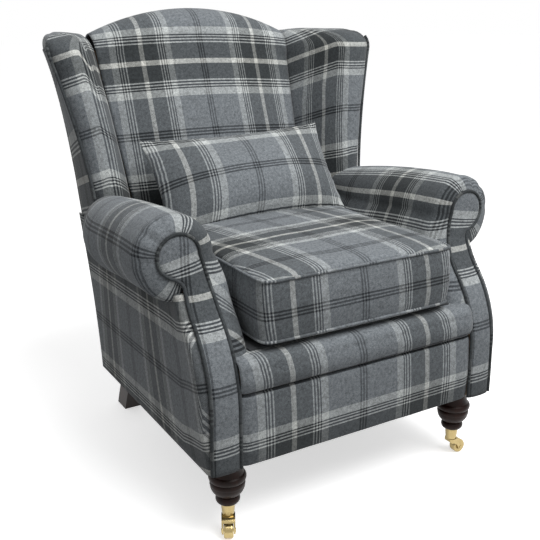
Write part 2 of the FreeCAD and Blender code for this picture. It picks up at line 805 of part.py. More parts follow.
# Rear legs: square, tapered and curved back
def rear_leg_section(z, x0, width, y0, depth):
    return polygon([Vector(x0, y0, z), Vector(x0 + width, y0, z),
                    Vector(x0 + width, y0 + depth, z), Vector(x0, y0 + depth, z)])


rear_top_x = rear_leg_inner + 2.0
rear_top_width = rear_leg_width + 12.0
rear_mid_x = rear_leg_inner + 1.0
rear_mid_width = rear_leg_width + 5.0
rear_mid_y = (rear_leg_foot_y + rear_leg_top_y) / 2 + rear_leg_curve
rear_leg = loft([
    rear_leg_section(0.0, rear_leg_inner, rear_leg_width, rear_leg_foot_y, rear_leg_foot_depth),
    rear_leg_section(leg_top / 2, rear_mid_x, rear_mid_width, rear_mid_y, rear_leg_foot_depth - 1.0),
    rear_leg_section(leg_top, rear_top_x, rear_top_width, rear_leg_top_y, rear_leg_top_depth),
])
rear_bolt_x = rear_top_x + rear_top_width / 2
rear_bolt_y = rear_y(frame_bottom) - post_front_depth + 8.0 + rail_thickness / 2 + 2.0
rear_bolt_reach = bolt_grip + block_height + 15.0
rear_bolt = Part.makeCylinder(bolt_radius, rear_bolt_reach, Vector(rear_bolt_x, rear_bolt_y, bolt_low))
rear_leg = rear_leg.cut(rear_bolt)
add_pair("rear_leg", rear_leg)
nodes["back_rail"] = nodes["back_rail"].cut(rear_bolt).cut(mirror_x(rear_bolt))

# Glued corner blocks that take the leg bolts
block_x = post_inner + 2.0
block_y = rail_y + rail_thickness


def corner_block(x, y, depth):
    corner = Vector(x, y, leg_top)
    inner = Vector(x - block_side, y, leg_top)
    end = Vector(x, y + depth, leg_top)
    return prism([seg(corner, inner), seg(inner, end), seg(end, corner)], Vector(0, 0, block_height))


front_block = corner_block(block_x, block_y, block_side)
front_block = front_block.cut(front_bolt).cut(stump)
rear_block_y = rear_y(leg_top) - post_front_depth + 8.0 - 1.0
rear_block = corner_block(post_inner, rear_block_y, -block_side)
rear_block = rear_block.cut(side_rail).cut(post).cut(nodes["back_rail"])
add("corner_blocks", Part.makeCompound([front_block.Solids[0], mirror_x(front_block).Solids[0],
                                        rear_block.Solids[0], mirror_x(rear_block).Solids[0]]))
add("leg_bolts", Part.makeCompound([front_bolt, mirror_x(front_bolt), rear_bolt, mirror_x(rear_bolt)]))

# Dust cover under the frame
cover = box(-panel_x, panel_x, rail_y, rear_y(body_bottom) - panel_thickness - seat_gap,
            body_bottom + seat_gap, frame_bottom - seat_gap)
for name in ("front_leg_right", "front_leg_left", "rear_leg_right", "rear_leg_left"):
    cover = cover.cut(nodes[name])
cover = cover.cut(facing).cut(mirror_x(facing)).cut(nodes["leg_bolts"])
add("dust_cover", cover)

# Castors, drawn with the swivel on the origin and the wheel trailing along +X
swivel_bore = swivel_pin_radius + running_clearance
cup_seat = cup_floor + cup_base
cup_edges = polygon([
    Vector(swivel_bore, 0, cup_floor),
    Vector(cup_radius_low, 0, cup_floor),
    Vector(cup_radius_top, 0, cup_top),
    Vector(spigot_radius_top + seat_gap, 0, cup_top),
    Vector(spigot_radius_low + seat_gap, 0, cup_seat),
    Vector(swivel_bore, 0, cup_seat),
])
castor_cup = Part.Face(cup_edges).revolve(Vector(0, 0, 0), Vector(0, 0, 1), 360.0)
fork_top = cup_floor - seat_gap
cheek_gap = wheel_width / 2 + 0.6
eye_radius = 8.5
horn_y = -fork_half_width


def horn_point(x, z):
    return Vector(x, horn_y, z)


horn_rear = horn_point(-11.0, fork_top)
horn_front = horn_point(11.0, fork_top)
heel = horn_point(-6.0, 33.0)
eye_front = horn_point(castor_trail + eye_radius, wheel_radius)
eye_low = horn_point(castor_trail, wheel_radius - eye_radius)
eye_rear = horn_point(castor_trail - eye_radius, wheel_radius)
horn = prism([
    seg(horn_rear, horn_front),
    arc(horn_front, horn_point(castor_trail + 4.0, 34.0), eye_front),
    arc(eye_front, eye_low, eye_rear),
    arc(eye_rear, horn_point(castor_trail - 15.0, 28.0), heel),
    arc(heel, horn_point(-11.0, 38.0), horn_rear),
], Vector(0, 2 * fork_half_width, 0))
wheel_room = Part.makeCylinder(wheel_radius + wheel_room_gap, 2 * cheek_gap,
                               Vector(castor_trail, -cheek_gap, wheel_radius), Vector(0, 1, 0))
horn = horn.cut(wheel_room)
round_horn = Part.makeCylinder(fork_half_width, fork_top, Vector(0, 0, 0))
outer_horn = box(0.0, castor_trail + 2 * wheel_radius, -fork_half_width, fork_half_width, 0.0, fork_top)
horn = horn.common(round_horn.fuse(outer_horn))
pin = Part.makeCylinder(swivel_pin_radius, 4.5 + seat_gap, Vector(0, 0, fork_top - 1.0))
rivet = Part.makeCylinder(rivet_radius, 1.8, Vector(0, 0, cup_seat + 0.15))
along_axle = Vector(0, 1, 0)
axle_end = fork_half_width + axle_head
axle_start = Vector(castor_trail, -axle_end, wheel_radius)
axle_hole = Part.makeCylinder(axle_radius, 2 * axle_end, axle_start, along_axle)
castor_fork = horn.fuse(pin).fuse(rivet).cut(axle_hole).removeSplitter()
near_head = Part.makeCylinder(axle_radius + 1.5, axle_head, axle_start, along_axle)
far_head = near_head.translated(along_axle * (axle_end + fork_half_width))
castor_axle = axle_hole.fuse(near_head).fuse(far_head).removeSplitter()
wheel_half = wheel_width / 2
wheel_bore = axle_radius + running_clearance
tread_edge = wheel_radius - 2.5
wheel_edges = [
    seg(Vector(wheel_bore, -wheel_half, 0), Vector(wheel_bore, wheel_half, 0)),
    seg(Vector(wheel_bore, wheel_half, 0), Vector(tread_edge, wheel_half, 0)),
    arc(Vector(tread_edge, wheel_half, 0), Vector(wheel_radius - 0.7, wheel_half - 1.8, 0),
        Vector(wheel_radius, wheel_half - 4.5, 0)),
    seg(Vector(wheel_radius, wheel_half - 4.5, 0), Vector(wheel_radius, 4.5 - wheel_half, 0)),
    arc(Vector(wheel_radius, 4.5 - wheel_half, 0), Vector(wheel_radius - 0.7, 1.8 - wheel_half, 0),
        Vector(tread_edge, -wheel_half, 0)),
    seg(Vector(tread_edge, -wheel_half, 0), Vector(wheel_bore, -wheel_half, 0)),
]
castor_wheel = Part.Face(Part.Wire(wheel_edges)).revolve(Vector(0, 0, 0), Vector(0, 1, 0), 360.0)
castor_wheel = castor_wheel.translated(Vector(castor_trail, 0, wheel_radius))


def set_castor(side, x, heading):
    pieces = {"castor_cup": castor_cup, "castor_fork": castor_fork, "castor_axle": castor_axle,
              "castor_wheel": castor_wheel}
    for name, piece in pieces.items():
        turned = piece.copy()
        turned.rotate(Vector(0, 0, 0), Vector(0, 0, 1), heading)
        turned.translate(Vector(x, leg_y, 0))
        add(name + "_" + side, turned)


set_castor("right", leg_x, right_castor_heading)
set_castor("left", -leg_x, left_castor_heading)

# Seat cushion: crowned top, bulging borders, sides drawn in between the corners
cushion_low = platform_height + seat_gap


def cushion_section(y, half, crown):
    border = (cushion_seam_low + cushion_seam_high) / 2
    foot = half - 14.0
    foot_mid_z = cushion_low + (cushion_seam_low - cushion_low) * 0.35
    flank = half + cushion_bulge
    foot_left = Vector(-foot, y, cushion_low)
    foot_right = Vector(foot, y, cushion_low)
    seam_right = Vector(half, y, cushion_seam_low)
    seam_left = Vector(-half, y, cushion_seam_low)
    top_right = Vector(half, y, cushion_seam_high)
    top_left = Vector(-half, y, cushion_seam_high)
    return Part.Wire([
        seg(foot_left, foot_right),
        arc(foot_right, Vector(half - 4.0, y, foot_mid_z), seam_right),
        arc(seam_right, Vector(flank, y, border), top_right),
        arc(top_right, Vector(0, y, cushion_seam_high + crown), top_left),
        arc(top_left, Vector(-flank, y, border), seam_left),
        arc(seam_left, Vector(4.0 - half, y, foot_mid_z), foot_left),
    ])


cushion_depth = cushion_rear - cushion_front
cushion_stations = [(0.0, 0.0, 0.45), (0.25, 0.7, 0.95), (0.5, 1.0, 1.0), (0.75, 0.7, 0.6), (1.0, 0.0, 0.35)]
seat_cushion = loft([
    cushion_section(cushion_front + cushion_depth * share, cushion_half_width - cushion_draw_in * draw,
                    cushion_crown * crown)
    for share, draw, crown in cushion_stations])
add("seat_cushion", seat_cushion)

# Lumbar cushion: plump in the middle, knife edges, lowered until it sits and leans
def lumbar_section(x, height, thickness):
    low = Vector(x, 0, -height / 2)
    top = Vector(x, 0, height / 2)
    return Part.Wire([
        arc(low, Vector(x, -thickness / 2, 0), top),
        arc(top, Vector(x, thickness / 2, 0), low),
    ])


lumbar_stations = []
for share, plump, draw in ((1.0, 0.05, 0.0), (0.93, 0.42, 0.35), (0.66, 0.84, 0.9), (0.33, 0.97, 1.0)):
    lumbar_stations.append((share * lumbar_half_width, lumbar_height - 2 * lumbar_draw_in * draw,
                            lumbar_thickness * plump))
middle_station = (0.0, lumbar_height - 2 * lumbar_draw_in, lumbar_thickness)
left_stations = [(-x, h, t) for x, h, t in lumbar_stations]
right_stations = [(x, h, t) for x, h, t in reversed(lumbar_stations)]
lumbar = loft([lumbar_section(x, h, t) for x, h, t in left_stations + [middle_station] + right_stations])
lumbar.rotate(Vector(0, 0, 0), Vector(1, 0, 0), -lumbar_lean)
lumbar_rest_z = cushion_seam_high + cushion_crown + lumbar_lift_start + lumbar_height / 2
lumbar_rest_y = back_face_y(lumbar_rest_z, 0) - lumbar_thickness / 2 - lumbar_lift_start
lumbar.translate(Vector(0, lumbar_rest_y, lumbar_rest_z))
for _ in range(6):
    fall = lumbar.distToShape(seat_cushion)[0] - seat_gap
    lumbar.translate(Vector(0, 0, -fall))
    slide = lumbar.distToShape(nodes["inside_back"])[0] - seat_gap
    lumbar.translate(Vector(0, slide, 0))
add("lumbar_cushion", lumbar)

# Move everything so that the middle of the bounding box stands over the origin
whole = Part.makeCompound(list(nodes.values())).optimalBoundingBox(False, False)
shift = Vector(-(whole.XMin + whole.XMax) / 2, -(whole.YMin + whole.YMax) / 2, -whole.ZMin)
for name, shape in nodes.items():
    placed = shape.translated(shift)
    solids = placed.Solids
    result = solids[0] if len(solids) == 1 else Part.makeCompound(solids)
    result.exportStep("parts/" + name + ".step")
print("nodes", len(nodes), "size", round(whole.XLength, 1), round(whole.YLength, 1), round(whole.ZLength, 1))
print("moved by", round(shift.x, 3), round(shift.y, 3), round(shift.z, 3))
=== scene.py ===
import bpy
import math
from mathutils import Matrix, Vector, noise


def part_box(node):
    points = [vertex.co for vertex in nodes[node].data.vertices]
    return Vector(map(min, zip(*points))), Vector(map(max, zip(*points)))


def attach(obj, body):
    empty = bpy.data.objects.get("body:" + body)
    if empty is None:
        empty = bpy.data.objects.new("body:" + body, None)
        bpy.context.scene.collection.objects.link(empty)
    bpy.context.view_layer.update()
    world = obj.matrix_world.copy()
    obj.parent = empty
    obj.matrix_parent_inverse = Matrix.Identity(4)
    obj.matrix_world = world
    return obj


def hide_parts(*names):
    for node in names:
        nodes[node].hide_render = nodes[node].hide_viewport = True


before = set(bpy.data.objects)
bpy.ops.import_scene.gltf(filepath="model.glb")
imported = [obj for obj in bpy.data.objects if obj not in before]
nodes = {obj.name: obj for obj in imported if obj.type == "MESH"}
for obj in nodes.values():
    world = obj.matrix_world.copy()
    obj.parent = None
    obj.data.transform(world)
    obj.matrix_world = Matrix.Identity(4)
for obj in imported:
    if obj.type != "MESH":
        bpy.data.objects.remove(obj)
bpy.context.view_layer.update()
print("frame loaded:", len(nodes), "pieces")

# The chair is drawn in metres with y = 0 at mid depth of the seat box, then set on the frame
seatBox = {
    "halfWidth": 0.3735,
    "bottom": 0.175,
    "front": -0.320,
    "seam": 0.332,  # seam between front border and lip
    "platform": 0.408,
}
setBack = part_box("arm_facing_right")[0].y - seatBox["front"]


# Small helpers for shapes

def mix(a, b, t):
    return a + (b - a) * t


def clamp(t, low=0.0, high=1.0):
    return max(low, min(high, t))


def smooth(t):
    t = clamp(t)
    return t * t * (3 - 2 * t)


def easeOut(t):  # goes from 0 to 1 with ever shorter steps, and from 0 to -1
    return math.sin(t * math.pi / 2)


def hump(t, width):  # soft bump of height 1 about zero
    return math.exp(-(t / width) ** 2)


def spread(a, b, count):
    return [mix(a, b, i / (count - 1)) for i in range(count)]


def quarter(count):  # angles of a quarter turn, without its start
    return spread(0, math.pi / 2, count + 1)[1:]


def arcThrough(a, m, b, count):
    # points of the circle through a, m and b, given as (x, y) pairs
    (ax, ay), (bx, by), (cx, cy) = a, m, b
    d = 2 * (ax * (by - cy) + bx * (cy - ay) + cx * (ay - by))
    ox = ((ax**2 + ay**2) * (by - cy) + (bx**2 + by**2) * (cy - ay) + (cx**2 + cy**2) * (ay - by)) / d
    oy = ((ax**2 + ay**2) * (cx - bx) + (bx**2 + by**2) * (ax - cx) + (cx**2 + cy**2) * (bx - ax)) / d
    r = math.hypot(ax - ox, ay - oy)
    start = math.atan2(ay - oy, ax - ox)
    middle = (math.atan2(by - oy, bx - ox) - start) % (2 * math.pi)
    turn = (math.atan2(cy - oy, cx - ox) - start) % (2 * math.pi)
    if middle > turn:
        turn -= 2 * math.pi
    return [(ox + r * math.cos(a), oy + r * math.sin(a)) for a in spread(start, start + turn, count)]


def runLengths(points):
    lengths = [0.0]
    for a, b in zip(points, points[1:]):
        lengths.append(lengths[-1] + (Vector(b) - Vector(a)).length)
    return lengths


def wander(x, y, z, size):  # gentle unevenness of stuffed cloth
    return noise.noise(Vector((x, y, z)) / size)


# Materials

plaid = {
    "halfRepeat": 184.0,  # mm from the cream line to the black lines
    "bands": [  # where each colour starts, mm from the middle of the cream line
        (0.0, "cream"), (6.4, "charcoal"), (48.0, "light"), (51.5, "black"), (55.5, "light"),
        (59.3, "black"), (63.3, "light"), (66.7, "black"), (70.4, "silver"), (89.0, "mid"),
        (173.5, "black"), (177.6, "mid"), (181.8, "black"),
    ],
    "yarns": {  # linear colours
        "cream": (0.47, 0.47, 0.435),
        "charcoal": (0.028, 0.032, 0.034),
        "light": (0.45, 0.47, 0.46),
        "black": (0.014, 0.016, 0.019),
        "silver": (0.42, 0.44, 0.435),
        "mid": (0.146, 0.160, 0.172),
    },
    "weftShare": 0.60,  # how much of the mixed colour is the weft's
    "twill": 0.0032,  # m from rib to rib of the weave
    "rib": 0.10,
    "fleck": 0.0016,  # m, grain of the wool
    "clouds": 170.0,  # larger spots, for each metre
    "fleckShare": 0.75,
    "cloudShare": 0.55,
    "contrast": 2.3,
    "darken": -0.52,
    "ribHeight": 0.35,
    "fleckHeight": 1.4,
    "bumpHeight": 0.0006,
    "cordPlaid": 0.18,  # how much of the plaid shows on the plain cord
}
halfRepeat = plaid["halfRepeat"] / 1000  # in metres


def nodeIn(tree, kind, values=None, **settings):
    made = tree.nodes.new(kind)
    for key, value in settings.items():
        setattr(made, key, value)
    for socket, value in (values or {}).items():
        made.inputs[socket].default_value = value
    return made


def mathNode(tree, operation, a, b):
    made = nodeIn(tree, "ShaderNodeMath", operation=operation)
    for socket, value in zip(made.inputs, (a, b)):
        if isinstance(value, (int, float)):
            socket.default_value = value
        else:
            tree.links.new(value, socket)
    return made.outputs[0]


def timesPlus(tree, value, times, plus):
    return mathNode(tree, "ADD", mathNode(tree, "MULTIPLY", value, times), plus)


def mixColours(tree, blend, factor, a, b):
    made = nodeIn(tree, "ShaderNodeMix", data_type="RGBA", blend_type=blend)
    for socket, value in ((made.inputs[0], factor), (made.inputs[6], a), (made.inputs[7], b)):
        if isinstance(value, (int, float)):
            socket.default_value = value
        elif isinstance(value, tuple):
            socket.default_value = (*value, 1.0)
        else:
            tree.links.new(value, socket)
    return made.outputs[2]


def newMaterial(name, values):
    # the values are those of the shader's sockets; the texture place is the object's own
    material = bpy.data.materials.new(name)
    material.use_nodes = True
    tree = material.node_tree
    shader = tree.nodes["Principled BSDF"]
    for socket, value in values.items():
        shader.inputs[socket].default_value = value
    place = nodeIn(tree, "ShaderNodeTexCoord").outputs["Object"]
    return material, tree, shader, place


def noiseNode(tree, place, scale, detail, distortion=0.0):
    made = nodeIn(tree, "ShaderNodeTexNoise", {"Scale": scale, "Detail": detail, "Distortion": distortion})
    tree.links.new(place, made.inputs["Vector"])
    return made.outputs[0]


def addBump(tree, shader, height, strength, distance):
    bump = nodeIn(tree, "ShaderNodeBump", {"Strength": strength, "Distance": distance})
    tree.links.new(height, bump.inputs["Height"])
    tree.links.new(bump.outputs[0], shader.inputs["Normal"])


def yarnRamp(tree, along):
    # stripes of one direction, mirrored at every half repeat; the colours are square roots
    ramp = nodeIn(tree, "ShaderNodeValToRGB")
    ramp.color_ramp.interpolation = "CONSTANT"
    folded = mathNode(tree, "PINGPONG", along, halfRepeat)
    tree.links.new(mathNode(tree, "DIVIDE", folded, halfRepeat), ramp.inputs[0])
    stops = ramp.color_ramp.elements
    for i, (start, yarn) in enumerate(plaid["bands"]):
        stop = stops[i] if i < 2 else stops.new(0.99)
        stop.position = start / plaid["halfRepeat"]
        stop.color = (*(math.sqrt(c) for c in plaid["yarns"][yarn]), 1.0)
    return ramp.outputs[0]


def plaidCloth(name, paintedShadeTint=(1.0, 1.0, 1.0), plain=None):
    material, tree, shader, place = newMaterial(name, {
        "Roughness": 0.92, "Specular IOR Level": 0.22, "Sheen Weight": 0.10, "Sheen Roughness": 0.45})
    split = nodeIn(tree, "ShaderNodeSeparateXYZ")
    tree.links.new(nodeIn(tree, "ShaderNodeUVMap", uv_map="weave").outputs[0], split.inputs[0])
    across, along = split.outputs[0], split.outputs[1]
    diagonal = mathNode(tree, "ADD", across, along)
    ribs = mathNode(tree, "SINE", mathNode(tree, "MULTIPLY", diagonal, 2 * math.pi / plaid["twill"]), 0.0)
    if plain:
        own = tuple(math.sqrt(c) for c in plaid["yarns"][plain])
        yarn = mixColours(tree, "MIX", plaid["cordPlaid"], own, yarnRamp(tree, across))
    else:
        share = timesPlus(tree, ribs, plaid["rib"], plaid["weftShare"])
        yarn = mixColours(tree, "MIX", share, yarnRamp(tree, across), yarnRamp(tree, along))
    colour = mixColours(tree, "MULTIPLY", 1.0, yarn, yarn)
    fleck = noiseNode(tree, place, 1 / plaid["fleck"], 2.0)
    clouds = mathNode(tree, "MULTIPLY", noiseNode(tree, place, plaid["clouds"], 3.0), plaid["cloudShare"])
    mottle = timesPlus(tree, fleck, plaid["fleckShare"], clouds)
    tone = timesPlus(tree, mottle, plaid["contrast"], plaid["darken"])
    # the tint scales the colour; below 1 it is painted shade, as on the darker, warmer copy for the outer
    # panels
    tinted = nodeIn(tree, "ShaderNodeCombineXYZ")
    for i in range(3):
        tree.links.new(mathNode(tree, "MULTIPLY", tone, paintedShadeTint[i]), tinted.inputs[i])
    finished = mixColours(tree, "MULTIPLY", 1.0, colour, tinted.outputs[0])
    tree.links.new(finished, shader.inputs["Base Color"])
    fleckHeight = mathNode(tree, "MULTIPLY", fleck, plaid["fleckHeight"])
    height = timesPlus(tree, ribs, plaid["ribHeight"], fleckHeight)
    addBump(tree, shader, height, 0.35, plaid["bumpHeight"])
    return material


def woodMaterial(name, dark, pale, stretch, scale, roughness, shine=0.5):
    material, tree, shader, place = newMaterial(name, {"Roughness": roughness, "Specular IOR Level": shine})
    mapping = nodeIn(tree, "ShaderNodeMapping", {"Scale": stretch})
    tree.links.new(place, mapping.inputs["Vector"])
    grain = noiseNode(tree, mapping.outputs[0], scale, 6.0, 0.6)
    ramp = nodeIn(tree, "ShaderNodeValToRGB")
    for stop, position, colour in zip(ramp.color_ramp.elements, (0.32, 0.68), (dark, pale)):
        stop.position = position
        stop.color = (*colour, 1.0)
    tree.links.new(grain, ramp.inputs[0])
    tree.links.new(ramp.outputs[0], shader.inputs["Base Color"])
    addBump(tree, shader, grain, 0.3, 0.0003)
    return material


def metalMaterial(name, colour, worn, roughness):
    material, tree, shader, place = newMaterial(name, {"Metallic": 1.0})
    smudge = noiseNode(tree, place, 90.0, 4.0)
    tree.links.new(mixColours(tree, "MIX", smudge, colour, worn), shader.inputs["Base Color"])
    tree.links.new(timesPlus(tree, smudge, 0.16, roughness - 0.08), shader.inputs["Roughness"])
    return material


def wovenMaterial(name, dark, pale, pitch):
    # plain open weave for webbing, lining and platform
    material, tree, shader, place = newMaterial(name, {"Roughness": 0.95})
    threads = []
    for direction in "XY":
        wave = nodeIn(tree, "ShaderNodeTexWave", {"Scale": 0.32 / pitch, "Distortion": 0.4},
                      bands_direction=direction)
        tree.links.new(place, wave.inputs["Vector"])
        threads.append(wave.outputs["Fac"])
    both = mathNode(tree, "MULTIPLY", *threads)
    tree.links.new(mixColours(tree, "MIX", both, dark, pale), shader.inputs["Base Color"])
    addBump(tree, shader, both, 0.4, 0.0005)
    return material


cloth = plaidCloth("plaidWool")
# the outer panels get a slightly darker, warmer copy of the plaid: painted shade for the sides turned away
# from the key light
clothPaintedShade = plaidCloth("plaidWoolPaintedShade", paintedShadeTint=(1.0, 0.985, 0.975))
clothCord = plaidCloth("charcoalCord", plain="charcoal")
mahogany = woodMaterial("mahogany", (0.006, 0.0025, 0.0015), (0.018, 0.006, 0.004), (1, 1, 0.12), 60, 0.40,
                        shine=0.14)
beech = woodMaterial("beech", (0.42, 0.28, 0.17), (0.62, 0.46, 0.30), (1, 0.15, 1), 40, 0.6)
brass = metalMaterial("castorBrass", (0.46, 0.37, 0.18), (0.32, 0.24, 0.11), 0.24)
steel = metalMaterial("boltSteel", (0.60, 0.60, 0.60), (0.48, 0.48, 0.50), 0.36)
jute = wovenMaterial("juteWebbing", (0.20, 0.14, 0.08), (0.44, 0.34, 0.22), 0.003)
lining = wovenMaterial("blackLining", (0.006, 0.006, 0.007), (0.03, 0.03, 0.032), 0.0015)
cotton = wovenMaterial("platformCotton", (0.02, 0.022, 0.024), (0.07, 0.075, 0.08), 0.0015)

finishes = [  # each with the starts of the names of its pieces
    (mahogany, ("front_leg_", "rear_leg_")),
    (beech, ("arm_stump_", "back_post_", "side_rail_", "seat_tack_rail_", "arm_rail_", "wing_post_",
             "wing_rail_", "front_rail", "back_rail", "back_stay_rail", "crest_rail", "corner_blocks")),
    (brass, ("castor_",)),
    (steel, ("leg_bolts",)),
    (jute, ("seat_webbing", "back_webbing")),
    (lining, ("dust_cover",)),
    (cotton, ("seat_platform",)),
]
for material, starts in finishes:
    for name, piece in nodes.items():
        if name.startswith(starts):
            piece.data.materials.clear()
            piece.data.materials.append(material)
print("materials ready")


# Mesh makers. A mark is a place on the cloth: metres across it, then along it, from a crossing of
# cream lines. Each piece says in "hang" how its stripes lie once the cover is pulled tight: shift
# and lift in metres, stretch and upStretch as factors, lean and slope as slants.

def hung(mark, hang):
    u, v = mark
    across = hang.get("shift", 0.0) + hang.get("stretch", 1.0) * u + hang.get("lean", 0.0) * v
    along = hang.get("lift", 0.0) + hang.get("slope", 0.0) * u + hang.get("upStretch", 1.0) * v
    across += hang.get("ease", 0.0) * max(across - halfRepeat, 0.0)
    along += hang.get("bow", 0.0) * (across - hang.get("bowMiddle", 0.0)) ** 2
    if "fold" in hang:
        along += foldLift(hang["fold"], across, along)
    return across, along


def foldLift(fold, across, along):
    # the stripes step up where the cloth goes over the nose on to the cheek, then sink back
    step = smooth((across - fold["start"]) / fold["width"])
    step *= 1 - fold["sink"] * clamp((across - fold["sinkStart"]) / fold["sinkWidth"])
    return fold["height"] * step * clamp((along - fold["low"]) / fold["rampUp"])


def coverMesh(name, places, faces, marks, material, fill, thick=0.0, body="chair", slotName="plaid_cloth"):
    mesh = bpy.data.meshes.new(name)
    mesh.from_pydata(places, [], faces)
    layer = mesh.uv_layers.new(name="weave")
    for loop, mark in zip(layer.data, marks):
        loop.uv = mark
    mesh.polygons.foreach_set("use_smooth", [True] * len(mesh.polygons))
    mesh.materials.append(material)
    piece = bpy.data.objects.new(name, mesh)
    bpy.context.scene.collection.objects.link(piece)
    if thick:
        backing = piece.modifiers.new("backing", "SOLIDIFY")
        backing.thickness = thick
        backing.offset = -1.0
    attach(piece, body)
    return piece


def clothPiece(name, rows, side=1, material=cloth, wrap=False, thick=0.0, flip=False, fill=0.7, hang=None):
    # rows of pairs, a place (x, y, z) and its mark; a wrapped row ends on its first place again
    wide = len(rows[0]) - (1 if wrap else 0)
    places = [(side * x, y + setBack, z) for row in rows for (x, y, z), _ in row[:wide]]
    faces = []
    marks = []
    for i in range(len(rows) - 1):
        for j in range(len(rows[0]) - 1):
            corners = [(i, j), (i, j + 1), (i + 1, j + 1), (i + 1, j)]
            if (side < 0) != flip:
                corners.reverse()
            faces.append([a * wide + b % wide for a, b in corners])
            marks += [hung(rows[a][b][1], hang or {}) for a, b in corners]
    return coverMesh(name, places, faces, marks, material, fill, thick)


cord = {
    "radius": 0.0037,
    "seatRadius": 0.0032,
    "sides": 10,
    "bias": 0.7,  # its cloth is cut on the slant, so less of it runs along the cord
    "phase": 0.02,
}


def cordPiece(name, line, radius, side=1, closed=False, marks=None, material=clothCord, **bodyAndSlot):
    # round cord along a line of points, with a flat end where it is open
    points = [Vector((side * x, y + setBack, z)) for x, y, z in line]
    phase = cord["phase"]
    marks = marks or [(length * cord["bias"] + phase, phase) for length in runLengths(points)]
    count = len(points)
    sides = cord["sides"]
    places = []
    up = Vector((0.13, 0.41, 0.90)).normalized()  # a direction that no cord starts in
    for i, p in enumerate(points):
        before = points[i - 1] if closed or i > 0 else p
        after = points[(i + 1) % count] if closed or i < count - 1 else p
        ahead = (after - before).normalized()
        up = (up - ahead * up.dot(ahead)).normalized()
        out = ahead.cross(up)
        for angle in spread(0, 2 * math.pi, sides + 1)[:-1]:
            places.append(tuple(p + (up * math.cos(angle) + out * math.sin(angle)) * radius))
    faces = []
    weaveAt = []
    girth = spread(0, 2 * math.pi * radius * cord["bias"], sides + 1)
    for i in range(count if closed else count - 1):
        following = (i + 1) % count
        for k in range(sides):
            corners = [(i, k), (following, k), (following, k + 1), (i, k + 1)]
            faces.append([a * sides + b % sides for a, b in corners])
            weaveAt += [(marks[a][0], marks[a][1] + girth[b]) for a, b in corners]
    if not closed:
        for first in (0, (count - 1) * sides):
            cap = list(range(first, first + sides))
            faces.append(cap if first == 0 else cap[::-1])
            weaveAt += [(phase, phase)] * sides
    return coverMesh(name, places, faces, weaveAt, material, 0.9, **bodyAndSlot)


# The lines that the covers share

backLine = {
    "lean": math.radians(20.3),
    "bendHeight": 0.480,
    "bendY": 0.375,
    "footY": 0.303,
}


def rearY(z):
    # rear line of the chair: curved up to the bend, then straight and leaning back
    lean = backLine["lean"]
    if z >= backLine["bendHeight"]:
        return backLine["bendY"] + (z - backLine["bendHeight"]) * math.tan(lean)
    dropY = backLine["footY"] - backLine["bendY"]
    dropZ = seatBox["bottom"] - backLine["bendHeight"]
    radius = (dropY**2 + dropZ**2) / (2 * (dropY * math.cos(lean) - dropZ * math.sin(lean)))
    centreY = backLine["bendY"] + radius * math.cos(lean)
    centreZ = backLine["bendHeight"] - radius * math.sin(lean)
    return centreY - math.sqrt(radius**2 - (z - centreZ) ** 2)


armFront = {
    "setback": 0.116,
    "low": 0.300,
    "high": 0.600,
    "share": 0.56,  # of the lower arc
}


def sweepY(z):
    # front line of the arms: upright, swept back in two arcs, upright again
    rise = armFront["high"] - armFront["low"]
    angle = 2 * math.atan(armFront["setback"] / rise)
    total = rise / math.sin(angle)
    lowRadius = total * armFront["share"]
    middle = armFront["low"] + lowRadius * math.sin(angle)
    if z <= armFront["low"]:
        return seatBox["front"]
    if z <= middle:
        return seatBox["front"] + lowRadius - math.sqrt(lowRadius**2 - (z - armFront["low"]) ** 2)
    if z < armFront["high"]:
        highRadius = total - lowRadius
        end = seatBox["front"] + armFront["setback"] - highRadius
        return end + math.sqrt(highRadius**2 - (armFront["high"] - z) ** 2)
    return seatBox["front"] + armFront["setback"]


def plaidAcross(x):  # black lines in the middle of the chair
    return x + halfRepeat


def plaidUp(z):  # black lines on the front seam
    return z - seatBox["seam"] - halfRepeat


# Front border and the padded lip above it

front = {
    "halfWidth": 0.3035,
    "columns": 96,
    "turnUnder": 0.016,
    "lowRound": 0.003,
    "bulge": 0.004,
    "seamDip": 0.008,  # how far both covers turn in at the seam
    "seamGap": 0.0008,
    "borderRound": 0.005,
    "lipRound": 0.006,
    "roundHeight": 0.004,
    "lipBow": 0.010,
    "lipTop": 0.026,  # the top of the lip rounds over from this far under the platform
    "lipDepth": 0.030,
    "lipRise": 0.0245,
    "tuck": 0.006,  # at the sides, beside the arm facings
    "tuckWidth": 0.010,
    "uneven": 0.0012,
    "warpShift": 0.010,
    "warpStretch": 1.04,
    "borderHang": {"shift": 0.001, "lean": 0.025, "lift": 0.008, "slope": -0.004, "upStretch": 1.055},
    "lipHang": {"shift": 0.0265, "lean": 0.165, "lift": -0.0175, "slope": -0.015, "upStretch": 0.90},
}


def frontCover(name, profile, seamIndex, hang):
    lengths = runLengths([(0, y, z) for y, z in profile])
    rows = []
    for (y, z), length in zip(profile, lengths):
        row = []
        for x in spread(-front["halfWidth"], front["halfWidth"], front["columns"]):
            tuck = front["tuck"] * hump(front["halfWidth"] - abs(x), front["tuckWidth"])
            uneven = front["uneven"] * wander(x, 0.3, z, 0.07)
            across = plaidAcross((x + front["warpShift"]) * front["warpStretch"])
            along = plaidUp(seatBox["seam"]) + length - lengths[seamIndex]
            row.append(((x, y + tuck + uneven, z), (across, along)))
        rows.append(row)
    return clothPiece(name, rows, thick=0.003, fill=0.5, hang=hang)


